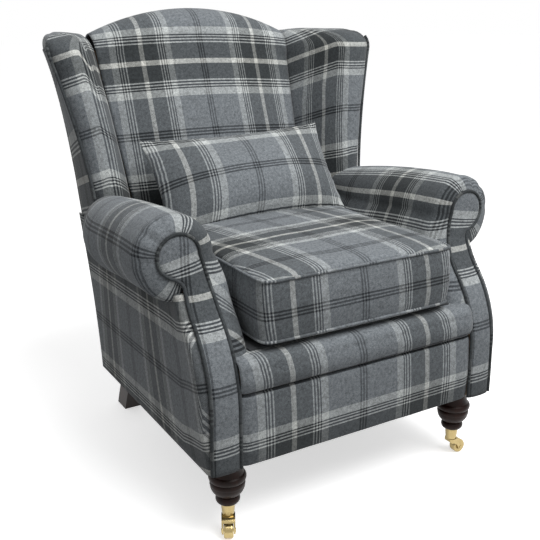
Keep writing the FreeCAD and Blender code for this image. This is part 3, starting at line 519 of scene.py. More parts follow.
def makeFront():
    y = seatBox["front"]
    low = seatBox["bottom"]
    seam = seatBox["seam"]
    r = front["lowRound"]
    border = [(y + front["turnUnder"], low + 0.001), (y + 2 * r, low)]
    border += [(y + r - r * math.sin(a), low + r - r * math.cos(a)) for a in spread(0.3, 1.5, 4)]
    for t in spread(0.05, 0.97, 22):
        z = mix(low, seam, t)
        turnIn = front["borderRound"] * hump(seam - z, front["roundHeight"])
        border.append((y - front["bulge"] * math.sin(math.pi * t) + turnIn, z))
    border.append((y + front["seamDip"], seam - front["seamGap"]))
    piece = frontCover("front_border_cover", border, len(border) - 1, front["borderHang"])
    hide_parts("front_border")
    lip = [(y + front["seamDip"], seam + front["seamGap"])]
    for t in spread(0.03, 1.0, 20):
        z = mix(seam, seatBox["platform"] - front["lipTop"], t)
        turnIn = front["lipRound"] * hump(z - seam, front["roundHeight"])
        lip.append((y + 0.002 - front["lipBow"] * math.sin(math.pi * (0.08 + t * 0.72)) + turnIn, z))
    endY, endZ = lip[-1]
    for a in spread(0.12, math.pi / 2, 9):
        lip.append((endY + front["lipDepth"] * (1 - math.cos(a)), endZ + front["lipRise"] * math.sin(a)))
    lip.append((lip[-1][0] + 0.03, lip[-1][1]))
    piece = frontCover("front_lip_cover", lip, 0, front["lipHang"])
    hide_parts("front_lip")


makeFront()
print("front done")


# Arms

arm = {
    "rollRadius": 0.086,
    "rollZ": 0.592,
    "inner": 0.262,
    "innerRear": 0.254,
    "low": 0.384,
    "taperStart": 0.040,
    "taper": 0.045,
    "taperPower": 2.4,
    "drawIn": 0.038,
    "fallStart": -0.200,
    "fall": 0.055,
    "rear": 0.300,
    "hip": 0.84,  # radii below the middle of the roll, where its inner side starts to curve out
    "hipPower": 1.8,
    "nose": 0.030,  # how far back the padded front edge rounds over
    "noseCloth": 1.45,  # length of the cloth over it, for each metre of nose
    "puff": 0.0015,
    "blackAngle": math.radians(24),  # where the black lines run on the outside of the roll
    "cream": -0.022,  # where the cream warp line crosses the arm
    "innerSteps": 12,
    "hipSteps": 10,
    "rollSteps": 54,
    "noseSteps": 10,
    "lengthSteps": 44,
}
armWeave = {  # before and behind: how far the cloth runs for each metre of arm, from the cream line
    "right": {
        "before": 1.04, "behind": 1.0,
        "hang": {"shift": 0.0045, "stretch": 1.02, "lean": -0.04,
                 "lift": 0.0185, "slope": 0.025, "upStretch": 0.96},
    },
    "left": {
        "before": 1.10, "behind": 1.40,
        "hang": {"shift": -0.02, "stretch": 1.125, "lean": 0.17,
                 "lift": 0.018, "slope": 0.025, "upStretch": 0.88},
    },
}
scroll = {
    "x": 0.372,
    "z": 0.600,
    "radius": 0.045,
    "tail": math.radians(-75),
    "tailTuck": 0.45,  # radians that the arm cover runs on under the scroll
    "inner": 0.305,
    "outer": 0.367,
    "footSpread": 0.003,
    "footTop": 0.36,
    "footHeight": 0.15,
    "neckPower": 2.2,
    "dome": 0.006,
    "domeEdge": 0.008,
    "middle": 0.333,  # cream warp line
    "creamHeight": 0.518,
    "slant": 0.20,  # the stripes fall towards the outside of the scroll
    "slantFrom": 0.52,
    "slantOver": 0.07,
    "uneven": 0.0007,
    "hang": {
        "right": {"shift": 0.053, "stretch": 0.865, "lean": 0.005,
                  "lift": 0.0075, "slope": -0.025, "upStretch": 0.97},
        "left": {"shift": -0.035, "stretch": 1.02, "lean": 0.025,
                 "lift": -0.003, "slope": 0.02, "upStretch": 0.965},
    },
}


def armStation(y):
    # the roll at depth y: its middle, its radius and where the inside of the arm runs
    taper = max((y - arm["taperStart"]) / (arm["rear"] - arm["taperStart"]), 0.0) ** arm["taperPower"]
    run = max((y - arm["fallStart"]) / (arm["rear"] - arm["fallStart"]), 0.0)
    radius = arm["rollRadius"] - arm["taper"] * taper
    ridge = arm["rollZ"] + arm["rollRadius"] - arm["fall"] * run**2
    inner = mix(arm["inner"], arm["innerRear"], min(run, 1.0) ** 2)
    return scroll["x"] - arm["drawIn"] * taper, ridge - radius, radius, inner


def scrollPoint(angle):
    r = scroll["radius"]
    return scroll["x"] + r * math.cos(angle), scroll["z"] + r * math.sin(angle)


def scrollHalf(z):  # half width of the scroll at height z
    return math.sqrt(max(scroll["radius"] ** 2 - (z - scroll["z"]) ** 2, 0.0))


def facingInner(z):
    waist = scroll["z"] - 3 * scroll["radius"]
    if z <= waist:
        return scroll["inner"]
    if z <= scroll["z"]:
        t = (z - waist) / (scroll["z"] - waist)
        return mix(scroll["inner"], scroll["x"] - scroll["radius"], t**arm["hipPower"])
    return scroll["x"] - scrollHalf(z)


def facingOuter(z):
    tailX, tailZ = scrollPoint(scroll["tail"])
    neckZ = tailZ - scroll["radius"] / 2
    if z <= neckZ:
        return scroll["outer"] + scroll["footSpread"] * smooth((scroll["footTop"] - z) / scroll["footHeight"])
    if z <= tailZ:
        return mix(scroll["outer"], tailX, ((z - neckZ) / (tailZ - neckZ)) ** scroll["neckPower"])
    return scroll["x"] + scrollHalf(z)


def underAngle(cx, radius):  # where the outside panel meets the roll from below
    return -math.acos(clamp((seatBox["halfWidth"] - 0.001 - cx) / radius, -1, 1))


def armSection(y):
    # (x, z) points from the bottom of the inside, over the roll, to its underside
    cx, cz, radius, inner = armStation(y)
    hip = cz - arm["hip"] * radius
    points = [(inner, z) for z in spread(arm["low"], hip, arm["innerSteps"])]
    for t in spread(0, 1, arm["hipSteps"] + 1)[1:]:
        points.append((mix(inner, cx - radius, t**arm["hipPower"]), mix(hip, cz, t)))
    for a in spread(math.pi, underAngle(cx, radius), arm["rollSteps"] + 1)[1:]:
        points.append((cx + radius * math.cos(a), cz + radius * math.sin(a)))
    return points


def ringAngles():  # angles of the cover round the scroll
    return spread(math.pi, scroll["tail"] - scroll["tailTuck"], arm["rollSteps"] + 1)


def facingRing():
    # the matching points on the edge of the facing
    _, cz, radius, _ = armStation(arm["fallStart"])
    hip = cz - arm["hip"] * radius
    points = [(facingInner(z) - 0.002, z) for z in spread(arm["low"], hip, arm["innerSteps"])]
    points += [(facingInner(z), z) for z in spread(hip, scroll["z"], arm["hipSteps"] + 1)[1:]]
    return points + [scrollPoint(angle) for angle in ringAngles()[1:]]


def rollArc(points, cx):
    # cloth length round the section, half a repeat where the black lines run
    lengths = runLengths([(x, 0, z) for x, z in points])
    angles = spread(math.pi, underAngle(cx, arm["rollRadius"]), arm["rollSteps"] + 1)
    first = arm["innerSteps"] + arm["hipSteps"] - 1
    black = min(range(len(angles)), key=lambda i: abs(angles[i] - arm["blackAngle"]))
    part = (arm["blackAngle"] - angles[black]) * arm["rollRadius"]
    return [length - lengths[first + black] + part + halfRepeat for length in lengths]


def armWarp(y, weave):  # cloth length along the arm, zero on the cream line
    away = y - arm["cream"]
    return away * (weave["before"] if away < 0 else weave["behind"])


pleats = [  # angle on the scroll, depth, and width in radians
    {"angle": math.radians(38), "depth": 0.0075, "width": 0.10},
    {"angle": math.radians(66), "depth": 0.0060, "width": 0.09},
    {"angle": math.radians(96), "depth": 0.0035, "width": 0.10},
    {"angle": math.radians(-4), "depth": 0.0030, "width": 0.12},
]
pleatFade = {"share": 0.9, "length": 0.035}  # how the pleats die out along the roll


def pleatDepth(angle, t):
    # t runs from 0 at the facing to 1 where the roll is full
    away = math.sin(math.pi * clamp(0.12 + t * 0.88)) ** 0.8
    return sum(pleat["depth"] * hump(angle - pleat["angle"], pleat["width"]) for pleat in pleats) * away


def makeInsideArm(side, label):
    weave = armWeave[label]
    base = armSection(arm["fallStart"])
    ring = facingRing()
    arcs = rollArc(base, scroll["x"])
    flat = arm["innerSteps"] + arm["hipSteps"] - 1  # points before the roll
    angles = [None] * flat + ringAngles()
    rows = []
    for t in spread(0, 1, arm["noseSteps"]):
        grow = easeOut(t)
        back = 1 - math.cos(t * math.pi / 2)
        row = []
        for k, ((fx, fz), (ax, az)) in enumerate(zip(ring, base)):
            x = mix(fx, ax, grow)
            z = mix(fz, az, grow)
            y = mix(sweepY(fz), sweepY(az) + arm["nose"], back) + 0.001
            if k >= flat:
                dip = pleatDepth(angles[k], t)
                x -= dip * math.cos(angles[k])
                z -= dip * math.sin(angles[k])
            across = armWarp(sweepY(az) + arm["nose"], weave) - arm["nose"] * arm["noseCloth"] * (1 - t)
            row.append(((x, y, z), (across, arcs[k])))
        rows.append(row)
    for w in spread(0, 1, arm["lengthSteps"])[1:]:
        row = []
        for k, (_, bz) in enumerate(base):
            start = sweepY(bz) + arm["nose"]
            y = mix(start, arm["rear"], w)
            x, z = armSection(y)[k]
            puff = arm["puff"] * wander(x * side, y, z, 0.09)
            if k >= flat:
                fade = math.exp((start - y) / pleatFade["length"])
                puff -= pleatDepth(angles[k], 0.93) * pleatFade["share"] * fade
                x += puff * math.cos(angles[k])
                z += puff * math.sin(angles[k])
            else:
                x -= puff
            row.append(((x, y, z), (armWarp(y, weave), arcs[k])))
        rows.append(row)
    piece = clothPiece("inside_arm_cover_" + label, rows, side=side, thick=0.003, hang=weave["hang"])
    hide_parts("inside_arm_" + label)


def facingWeft(z):
    # cloth length up the swept facing, zero on its cream line
    away = z - scroll["creamHeight"]
    line = [(0, sweepY(h), h) for h in spread(scroll["creamHeight"], z, int(abs(away) / 0.02) + 2)]
    return math.copysign(runLengths(line)[-1], away)


def makeFacing(side, label):
    heights = spread(seatBox["bottom"] - 0.001, scroll["z"], 44)
    heights += [scrollPoint(a)[1] for a in quarter(13)]
    rows = []
    for z in heights:
        inner = facingInner(z)
        outer = max(facingOuter(z), inner + 0.0004)
        row = []
        for x in spread(inner, outer, 19):
            edge = min(x - inner, outer - x, scroll["z"] + scroll["radius"] - z)
            dome = scroll["dome"] * (1 - math.exp(-max(edge, 0.0) / scroll["domeEdge"]))
            y = sweepY(z) + 0.001 - dome + scroll["uneven"] * wander(x, z, side, 0.04)
            across = x - scroll["middle"]
            slant = scroll["slant"] * smooth((z - scroll["slantFrom"]) / scroll["slantOver"])
            along = facingWeft(z) + slant * across
            row.append(((x, y, z), (plaidAcross(across), along)))
        rows.append(row)
    hang = scroll["hang"][label]
    piece = clothPiece("arm_facing_cover_" + label, rows, side=side, thick=0.006, hang=hang)
    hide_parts("arm_facing_" + label)


def makeFacingCord(side, label):
    foot = seatBox["bottom"] + 0.002
    edge = [(facingInner(z), z) for z in spread(foot, scroll["z"], 46)]
    edge += [scrollPoint(a) for a in spread(math.pi, scroll["tail"], 44)[1:]]
    edge += [(facingOuter(z), z) for z in spread(edge[-1][1], foot, 44)[1:]]
    line = [(x, sweepY(z) - 0.0015, z) for x, z in edge]
    cordPiece("facing_cord_" + label, line, cord["radius"], side=side)


outerArm = {
    "proud": 0.0015,  # of the frame
    "edge": 0.014,
    "topFront": -0.25,  # the top edge follows the roll between these depths
    "topRear": 0.28,
    "stepGrowth": 1.15,
    "tuck": 0.022,  # the cover runs on behind the underside of the roll
    "turnUnder": 0.012,
    "bulge": 0.003,
    "frontBulge": 0.012,
    "frontBulgeWidth": 0.07,
    "frontBulgeFrom": 0.18,
    "frontBulgeOver": 0.10,
    "frontDrop": 0.25,  # slant of the weft lines near the front
    "dropStart": -0.20,
    "creamUp": -0.07,  # cloth height at which the cream warp line and the repeat are given
    "creamTop": -0.042,
    "creamLean": 0.21,
    "repeatTop": 0.247,
    "repeatGrowth": 0.16,
    "hang": {
        "right": {},
        "left": {"shift": 0.0025, "stretch": 0.95, "lean": 0.01,
                 "lift": 0.0075, "slope": 0.025, "upStretch": 1.02},
    },
}


def makeOutsideArm(side, label):
    rows = []
    for t in spread(0, 1, 34):
        row = []
        for s in spread(0, 1, 60):
            # the top follows the underside of the roll
            roughY = mix(seatBox["front"], arm["rear"], s)
            cx, cz, radius, _ = armStation(clamp(roughY, outerArm["topFront"], outerArm["topRear"]))
            z = mix(seatBox["bottom"], cz + radius * math.sin(underAngle(cx, radius)) + outerArm["tuck"], t)
            startY = sweepY(z) + outerArm["proud"]
            y = mix(startY, rearY(z) - 0.001, s ** outerArm["stepGrowth"])
            bulge = outerArm["bulge"] * math.sin(math.pi * t) * math.sin(math.pi * s)
            bulge += (outerArm["frontBulge"] * hump(y - startY, outerArm["frontBulgeWidth"])
                      * smooth((z - outerArm["frontBulgeFrom"]) / outerArm["frontBulgeOver"]))
            turn = clamp((y - startY) / outerArm["edge"])
            flat = seatBox["halfWidth"] + outerArm["proud"] + bulge
            x = mix(facingOuter(min(z, 0.5)), flat, math.sqrt(1 - (1 - turn) ** 2))
            drop = plaidUp(z) - outerArm["creamUp"]
            cream = outerArm["creamTop"] + outerArm["creamLean"] * drop
            repeat = outerArm["repeatTop"] - outerArm["repeatGrowth"] * drop
            along = plaidUp(z) - outerArm["frontDrop"] * max(outerArm["dropStart"] - y, 0.0)
            row.append(((x, y, z), ((y - cream) * 2 * halfRepeat / repeat, along)))
        rows.append(row)
    under = outerArm["turnUnder"]
    rows.insert(0, [((x - under, y, z + 0.001), (u, v - under)) for (x, y, z), (u, v) in rows[0]])
    piece = clothPiece("outside_arm_cover_" + label, rows, side=side, material=clothPaintedShade,
                       thick=0.003, fill=0.4, hang=outerArm["hang"][label])
    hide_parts("outside_arm_" + label)


for side, label in ((1, "right"), (-1, "left")):
    makeInsideArm(side, label)
    makeFacing(side, label)
    makeFacingCord(side, label)
    makeOutsideArm(side, label)
print("arms done")


# Wings

wing = {
    "start": 0.500,  # the cover starts here, inside the arm
    "low": 0.507,
    "high": 1.000,
    "cap": 0.952,  # the top starts to round over here
    "outsideStart": 0.490,
    "outsideTop": 0.962,
    "frontX": 0.378,
    "frontY": 0.230,
    "flare": 0.082,
    "flarePower": 1.8,
    "sweep": 0.083,
    "sweepPower": 1.1,
    "rearX": 0.366,
    "rearFlare": 0.034,
    "rearPower": 4,
    "thickness": 0.066,
    "thickening": 0.024,
    "nose": 0.30,
    "topTrim": 0.026,  # how far the top draws in
    "topTrimBack": 1.6,
    "noseSteps": 22,
    "cheekSteps": 20,
    "cheekHollow": (-0.006, -0.003, 0),
    "capRise": 0.005,
    "capCloth": 0.02,
    "ridge": (0.12, 0.90),  # where the top closes, as shares from nose to rear
    "puff": 0.0018,
    "cordLow": 0.560,
    "cordHigh": 0.985,
    "cordForward": 0.009,
    "creamHeight": 0.960,
    "riseWidth": 0.20,
    "leanFrom": -0.10,
    "outerDrop": 0.07,
    "outerHang": {
        "right": {},
        "left": {"shift": -0.0005, "stretch": 1.08, "lean": -0.06,
                 "lift": -0.154, "slope": -0.19, "upStretch": 0.72},
    },
}
wingWeave = {
    # cream: cloth length from the outer edge to the cream warp line; rise: slant of the weft lines
    # on the cheek; turn and dip: where they fall towards the outer edge, and how much
    "right": {
        "rise": 0.24, "cream": 0.168, "lean": 0.116, "lift": 0.073, "stretch": 1.10,
        "turn": 0.126, "dip": 0.10,
        "hang": {"shift": 0.011, "stretch": 1.255, "lean": 0.01,
                 "lift": -0.0285, "slope": 0.08, "upStretch": 0.95},
    },
    "left": {
        "rise": 0.35, "cream": 0.133, "lean": 0.045, "lift": 0.068, "stretch": 1.02,
        "turn": 0.065, "dip": 0.35,
        "hang": {
            "shift": -0.0325, "stretch": 0.72, "lean": -0.025, "slope": 0.035, "upStretch": 0.985,
            "fold": {"height": 0.045, "start": -0.075, "width": 0.02, "sink": 0.8, "sinkStart": -0.05,
                     "sinkWidth": 0.10, "low": -0.30, "rampUp": 0.30},
        },
    },
}
back = {
    "halfWidth": 0.240,
    "widthHeight": 0.400,  # height of that half width
    "spread": 0.075,
    "thickness": 0.128,
    "thicknessLow": 0.108,
    "low": 0.404,
    "waist": 0.600,
    "setback": 0.045,
    "setbackPower": 2.6,
    "peak": 1.061,
    "drop": 0.062,
    "roll": 0.070,
    "hood": 0.052,  # how far the cover comes down behind the crest
    "crown": 0.56,  # place of the highest line between front and rear
    "crownPower": 1.15,
    "hoodPower": 0.9,
    "columns": 71,
    "faceSteps": 30,
    "uneven": 0.0015,
    "wingLevel": 0.76,  # above it the outside back is as wide as the wings
    "besideWings": 0.955,  # its top there
    "creamHeight": 0.924,  # where the upper cream weft line crosses the middle
    "warpStretch": 1.085,
    "weftStretch": 1.03,
    "weftSlope": 0.02,
    "hang": {"shift": 0.0015, "stretch": 1.03, "lift": -0.0025, "slope": -0.01, "upStretch": 0.95,
             "bow": 0.14, "bowMiddle": 0.17},
}


def backX(z):  # half width of the inside back
    return back["halfWidth"] + back["spread"] * (z - back["widthHeight"])


def backWeft(z):  # cloth place of height z on the sloping back
    return (z - back["creamHeight"]) / math.cos(backLine["lean"])


def wingShare(z):
    return max((z - wing["low"]) / (wing["high"] - wing["low"]), 0.0)


def wingFront(z):
    u = wingShare(z)
    x = wing["frontX"] + wing["flare"] * u ** wing["flarePower"]
    return Vector((x, wing["frontY"] + wing["sweep"] * u ** wing["sweepPower"], z))


def wingRear(z):
    return Vector((wing["rearX"] + wing["rearFlare"] * wingShare(z) ** wing["rearPower"], rearY(z), z))


def wingPoint(z, inwards, backwards):  # measured from the outer front edge
    along = (wingRear(z) - wingFront(z)).normalized()
    across = Vector((-along.y, along.x, 0))
    return wingFront(z) + across * inwards + along * backwards


def wingRing(z, trim, shift):
    # closed outline at height z: nose, cheek, then round the hidden back and the outer face
    width = wing["thickness"] + wing["thickening"] * wingShare(z)
    outer = wingPoint(z, trim, shift + trim)
    inner = wingPoint(z, width - trim, shift + trim)
    tip = wingPoint(z, width / 2, shift + trim - (wing["nose"] * width - trim))
    seamY = rearY(z) - back["thickness"] + back["setback"] + 0.010 + trim
    seam = Vector((backX(z) + 0.001 + trim, seamY, z))
    cheek = (inner + seam) * 0.5 + Vector(wing["cheekHollow"])
    ring = arcThrough(outer[:2], tip[:2], inner[:2], wing["noseSteps"])
    ring += arcThrough(inner[:2], cheek[:2], seam[:2], wing["cheekSteps"])[1:]
    rearOuter = wingRear(z) + Vector((-trim, -trim, 0))
    rearInner = Vector((seam.x, rearOuter.y, z))
    corners = [seam, rearInner, rearOuter, outer]
    for a, b, count in zip(corners, corners[1:], (5, 6, 16)):
        ring += [(mix(a.x, b.x, t), mix(a.y, b.y, t)) for t in spread(0, 1, count)[1:]]
    return ring[:-1]


def wingMark(weave, z, length, toSeam):
    # length is measured from the outer edge over the nose, and is negative on the outer face
    along = (z - wing["creamHeight"]) / math.cos(backLine["lean"])
    along -= weave["rise"] * clamp(toSeam, 0.0, wing["riseWidth"])
    if 0 <= length < weave["turn"]:
        along += weave["dip"] * (weave["turn"] - length)
    cream = weave["cream"] + weave["lean"] * (along - wing["leanFrom"])
    return length - cream, (along + weave["lift"]) * weave["stretch"]


def makeWing(side, label):
    weave = wingWeave[label]
    levels = [(z, 0.0) for z in spread(wing["start"], wing["cap"], 40)]
    for a in quarter(8):
        levels.append((mix(wing["cap"], wing["high"], math.sin(a)), wing["topTrim"] * (1 - math.cos(a))))
    shown = wing["noseSteps"] + wing["cheekSteps"] - 1  # columns on nose and cheek
    rows = []
    for z, trim in levels:
        ring = wingRing(z, trim, trim * (wing["topTrimBack"] - 1))
        ring.append(ring[0])
        lengths = runLengths([(x, y, 0) for x, y in ring])
        row = []
        for k, ((x, y), length) in enumerate(zip(ring, lengths)):
            puff = wing["puff"] * wander(x, y, z, 0.08) if k < shown else 0.0
            run = length if k <= shown else length - lengths[-1]
            row.append(((x + puff, y - puff, z), wingMark(weave, z, run, lengths[shown] - length)))
        rows.append(row)
    # the top closes towards the middle line of the wing
    last = rows[-1]
    frontMid = Vector(last[wing["noseSteps"] // 2][0])
    axis = (Vector(last[shown + 6][0]) + Vector(last[shown + 10][0])) / 2 - frontMid
    for t in (0.35, 0.7, 1.0):
        row = []
        for place, (u, v) in last:
            share = clamp((Vector(place) - frontMid).dot(axis) / axis.dot(axis), *wing["ridge"])
            middle = frontMid + axis * share
            x = mix(place[0], middle.x, t)
            y = mix(place[1], middle.y, t)
            row.append(((x, y, wing["high"] + wing["capRise"] * easeOut(t)), (u, v + wing["capCloth"] * t)))
        rows.append(row)
    piece = clothPiece("inside_wing_cover_" + label, rows, side=side, wrap=True, flip=True,
                       hang=weave["hang"])
    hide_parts("inside_wing_" + label)


def makeOutsideWing(side, label):
    cream = wingWeave[label]["cream"]
    rows = []
    for z in spread(wing["outsideStart"], wing["outsideTop"], 30):
        depth = (wingRear(z) - wingFront(z)).length
        row = []
        for s in spread(0, 1, 20):
            place = wingPoint(z, -0.0012 - 0.003 * math.sin(math.pi * s), mix(0.003, depth - 0.001, s))
            row.append((place, (-s * depth - cream, backWeft(z) - wing["outerDrop"])))
        rows.append(row)
    piece = clothPiece("outside_wing_cover_" + label, rows, side=side, material=clothPaintedShade,
                       thick=0.003, fill=0.4, hang=wing["outerHang"][label])
    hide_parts("outside_wing_" + label)


def makeWingCord(side, label):
    line = []
    for z in spread(wing["cordLow"], wing["cordHigh"], 44):
        over = clamp((z - wing["cap"]) / (wing["high"] - wing["cap"]))
        trim = wing["topTrim"] * (1 - math.sqrt(1 - over**2))
        line.append(wingPoint(z, 0.001 + trim, trim * wing["topTrimBack"] - wing["cordForward"]))
    cordPiece("wing_cord_" + label, line, cord["radius"], side=side)


for side, label in ((1, "right"), (-1, "left")):
    makeWing(side, label)
    makeOutsideWing(side, label)
    makeWingCord(side, label)
print("wings done")


# Inside and outside back

def crestZ(x):  # camel back: an arc from shoulder to shoulder
    half = backX(back["peak"] - back["drop"])
    radius = (half**2 + back["drop"] ** 2) / (2 * back["drop"])
    return back["peak"] - radius + math.sqrt(max(radius**2 - x**2, 0.0))


def backFace(z, share):
    bend = (back["thickness"] - back["thicknessLow"]) / (back["waist"] - back["low"])
    thick = back["thicknessLow"] + bend * min(z - back["low"], back["waist"] - back["low"])
    return rearY(z) - thick + back["setback"] * abs(share) ** back["setbackPower"]


def backPath(share):
    # (y, z) points up the face, over the crest and down behind it
    peak = crestZ(share * backX(back["peak"] - back["drop"]))
    shoulder = peak - back["roll"]
    hood = peak - back["hood"]
    path = [(backFace(z, share), z) for z in spread(back["low"], shoulder, back["faceSteps"])]
    faceY = path[-1][0]
    rear = rearY(hood)
    crownY = mix(faceY, rear, back["crown"])
    for a in quarter(13):
        forward = (crownY - faceY) * math.cos(a) ** back["crownPower"]
        path.append((crownY - forward, mix(shoulder, peak, math.sin(a))))
    for a in quarter(12):
        z = mix(hood, peak, math.cos(a) ** back["hoodPower"])
        path.append((mix(crownY, rear + 0.001, math.sin(a)), z))
    return path


def makeInsideBack():
    level = back["faceSteps"] // 2 - 1  # cloth lengths are measured from this row
    columns = []
    for share in spread(-1, 1, back["columns"]):
        places = []
        for y, z in backPath(share):
            x = share * backX(min(z, back["peak"] - back["drop"]))
            places.append((x, y + back["uneven"] * wander(x, y, z, 0.11), z))
        lengths = runLengths(places)
        start = backWeft(places[level][2]) - lengths[level]
        column = []
        for place, length in zip(places, lengths):
            along = (start + length + back["weftSlope"] * place[0]) * back["weftStretch"]
            column.append((place, (plaidAcross(place[0] * back["warpStretch"]), along)))
        columns.append(column)
    piece = clothPiece("inside_back_cover", list(zip(*columns)), thick=0.004, hang=back["hang"])
    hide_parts("inside_back")


def makeOutsideBack():
    low = seatBox["bottom"]
    wingTop = back["besideWings"]
    rows = []
    for t in spread(0, 1, 46):
        row = []
        for s in spread(-1, 1, 45):
            z = mix(low, wingTop, t)
            half = mix(seatBox["halfWidth"] - 0.001, wing["rearX"], (z - low) / (back["wingLevel"] - low))
            if z > back["wingLevel"]:
                half = wingRear(z).x
            x = s * half
            if abs(x) < backX(wingTop):
                z = mix(low, crestZ(x) - back["hood"], t)
            y = rearY(z) + 0.0005 + 0.003 * math.sin(math.pi * t) * math.cos(math.pi * s / 2)
            row.append(((x, y, z), (plaidAcross(x), plaidUp(z))))
        rows.append(row)
    piece = clothPiece("outside_back_cover", rows, material=clothPaintedShade, thick=0.003, flip=True, fill=0.4)
    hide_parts("outside_back")


makeInsideBack()
makeOutsideBack()
print("back done")


# Seat cushion

seat = {
    "halfWidth": 0.244,
    "front": -0.308,
    "rear": 0.234,
    "seamLow": 0.425,
    "seamHigh": 0.551,
    "low": 0.4105,
    "crown": 0.030,
    "fullness": 0.42,  # the lower, the fuller towards the edges
    "edgePower": 2.6,
    "uneven": 0.0022,
    "drawIn": 0.004,
    "bulge": 0.007,
    "bulgePower": 0.7,
    "bulgeUneven": 0.0016,
    "corner": 0.00924,
    "cornerPower": 14,
    "steps": 49,
    "bands": 12,
    "cordOut": 0.0015,
    "cordAlong": 0.13,  # its place on the cloth, in a plain band
    "blackHeight": 0.488,
    "blackDepth": -0.235,  # black weft lines across the top
    "warpShift": 0.005,
    "warpStretch": 1.065,
    "weftStretch": 1.24,
    "topHang": {"shift": 0.034, "stretch": 0.975, "lean": -0.16, "lift": -0.039, "slope": 0.065,
                "upStretch": 1.07, "bow": 0.55, "bowMiddle": 0.22, "ease": 0.04},
    "borderHang": {"shift": -0.0165, "stretch": 1.002, "lean": 0.10, "lift": -0.0005, "slope": -0.004,
                   "upStretch": 1.04, "ease": 0.04},
}


def seatAcross(x):
    return plaidAcross((x + seat["warpShift"]) * seat["warpStretch"])


def seatPlan(s, t):
    # s and t run from -1 to 1 over the cushion seen from above
    x = s * (seat["halfWidth"] - seat["drawIn"] * (1 - t * t))
    y = mix(seat["front"], seat["rear"], 0.5 + t / 2) - t * seat["drawIn"] * 0.5 * (1 - s * s)
    corner = abs(s * t) ** seat["cornerPower"] * seat["corner"]
    return x - math.copysign(corner, s), y - math.copysign(corner, t)


def makeSeatCushion():
    places = []

    def addPlace(x, y, z):
        places.append((x, y + setBack, z))
        return len(places) - 1

    def sheet(seam, crown):  # rows of place numbers, crowned up or down
        made = []
        for t in map(easeOut, spread(-1, 1, seat["steps"])):
            row = []
            for s in map(easeOut, spread(-1, 1, seat["steps"])):
                x, y = seatPlan(s, t)
                plump = max(1 - abs(s) ** seat["edgePower"], 0.0) * max(1 - abs(t) ** seat["edgePower"], 0.0)
                rise = crown * plump ** seat["fullness"]
                uneven = seat["uneven"] * wander(x, y, 1.7, 0.09) if rise > 0 else 0.0
                row.append(addPlace(x, y, max(seam + rise + uneven, seat["low"])))
            made.append(row)
        return made

    def edge(rows):  # place numbers round a sheet, from its front left corner
        ring = rows[0] + [row[-1] for row in rows[1:]] + rows[-1][-2::-1]
        return ring + [row[0] for row in rows[-2:0:-1]]

    def outwards(x, y):
        away = Vector((x, y)) - Vector((0, (seat["front"] + seat["rear"]) / 2 + setBack))
        return Vector((away.x / 0.9, away.y)).normalized()

    top = sheet(seat["seamHigh"], seat["crown"])
    bottom = sheet(seat["seamLow"], -seat["crown"])
    faces = []
    marks = []
    for i in range(seat["steps"] - 1):
        for j in range(seat["steps"] - 1):
            faces.append([top[i][j], top[i][j + 1], top[i + 1][j + 1], top[i + 1][j]])
            for x, y, _ in (places[v] for v in faces[-1]):
                along = halfRepeat - (y - setBack - seat["blackDepth"]) * seat["weftStretch"]
                marks.append(hung((seatAcross(x), along), seat["topHang"]))
            faces.append([bottom[i][j], bottom[i + 1][j], bottom[i + 1][j + 1], bottom[i][j + 1]])
            marks += [(seatAcross(places[v][0]), places[v][1]) for v in faces[-1]]

    topEdge = edge(top)
    lowEdge = edge(bottom)
    count = len(topEdge)
    bands = [lowEdge]
    for h in spread(0, 1, seat["bands"] + 1)[1:-1]:
        band = []
        for x, y, _ in [places[v] for v in lowEdge]:
            reach = seat["bulge"] * math.sin(math.pi * h) ** seat["bulgePower"]
            out = outwards(x, y) * (reach + seat["bulgeUneven"] * wander(x, y, h * 0.3, 0.06))
            band.append(addPlace(x + out.x, y + out.y - setBack, mix(seat["seamLow"], seat["seamHigh"], h)))
        bands.append(band)
    bands.append(topEdge)

    around = runLengths([places[v] for v in topEdge + topEdge[:1]])
    startAcross = seatAcross(-seat["halfWidth"])
    # the left side is counted backwards from the front corner, so that the stripes run on there
    goneRound = [around[-1] if i > count - seat["steps"] else 0.0 for i in range(count)]
    for k in range(seat["bands"]):
        for i in range(count):
            j = (i + 1) % count
            faces.append([bands[k][i], bands[k][j], bands[k + 1][j], bands[k + 1][i]])
            for end, level in ((i, k), (i + 1, k), (i + 1, k + 1), (i, k + 1)):
                across = startAcross + (around[end] - goneRound[i]) * seat["warpStretch"]
                z = mix(seat["seamLow"], seat["seamHigh"], level / seat["bands"])
                marks.append(hung((across, z - seat["blackHeight"] + halfRepeat), seat["borderHang"]))
    piece = coverMesh("seat_cushion_cover", places, faces, marks, cloth, 0.85,
                      body="loose_seat_cushion", slotName="plaid_cushion")
    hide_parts("seat_cushion")

    cordMarks = [(startAcross + around[i] - goneRound[i], seat["cordAlong"]) for i in range(count)]
    for name, ring, lift in (("seat_cord_top", topEdge, 0.001), ("seat_cord_low", lowEdge, 0.0)):
        line = []
        for x, y, z in (places[v] for v in ring):
            out = outwards(x, y) * seat["cordOut"]
            line.append((x + out.x, y + out.y - setBack, z + lift))
        cordPiece(name, line, cord["seatRadius"], closed=True, marks=cordMarks, material=cloth,
                  body="loose_seat_cushion", slotName="plaid_cushion")


makeSeatCushion()
print("seat cushion done")


# Lumbar cushion

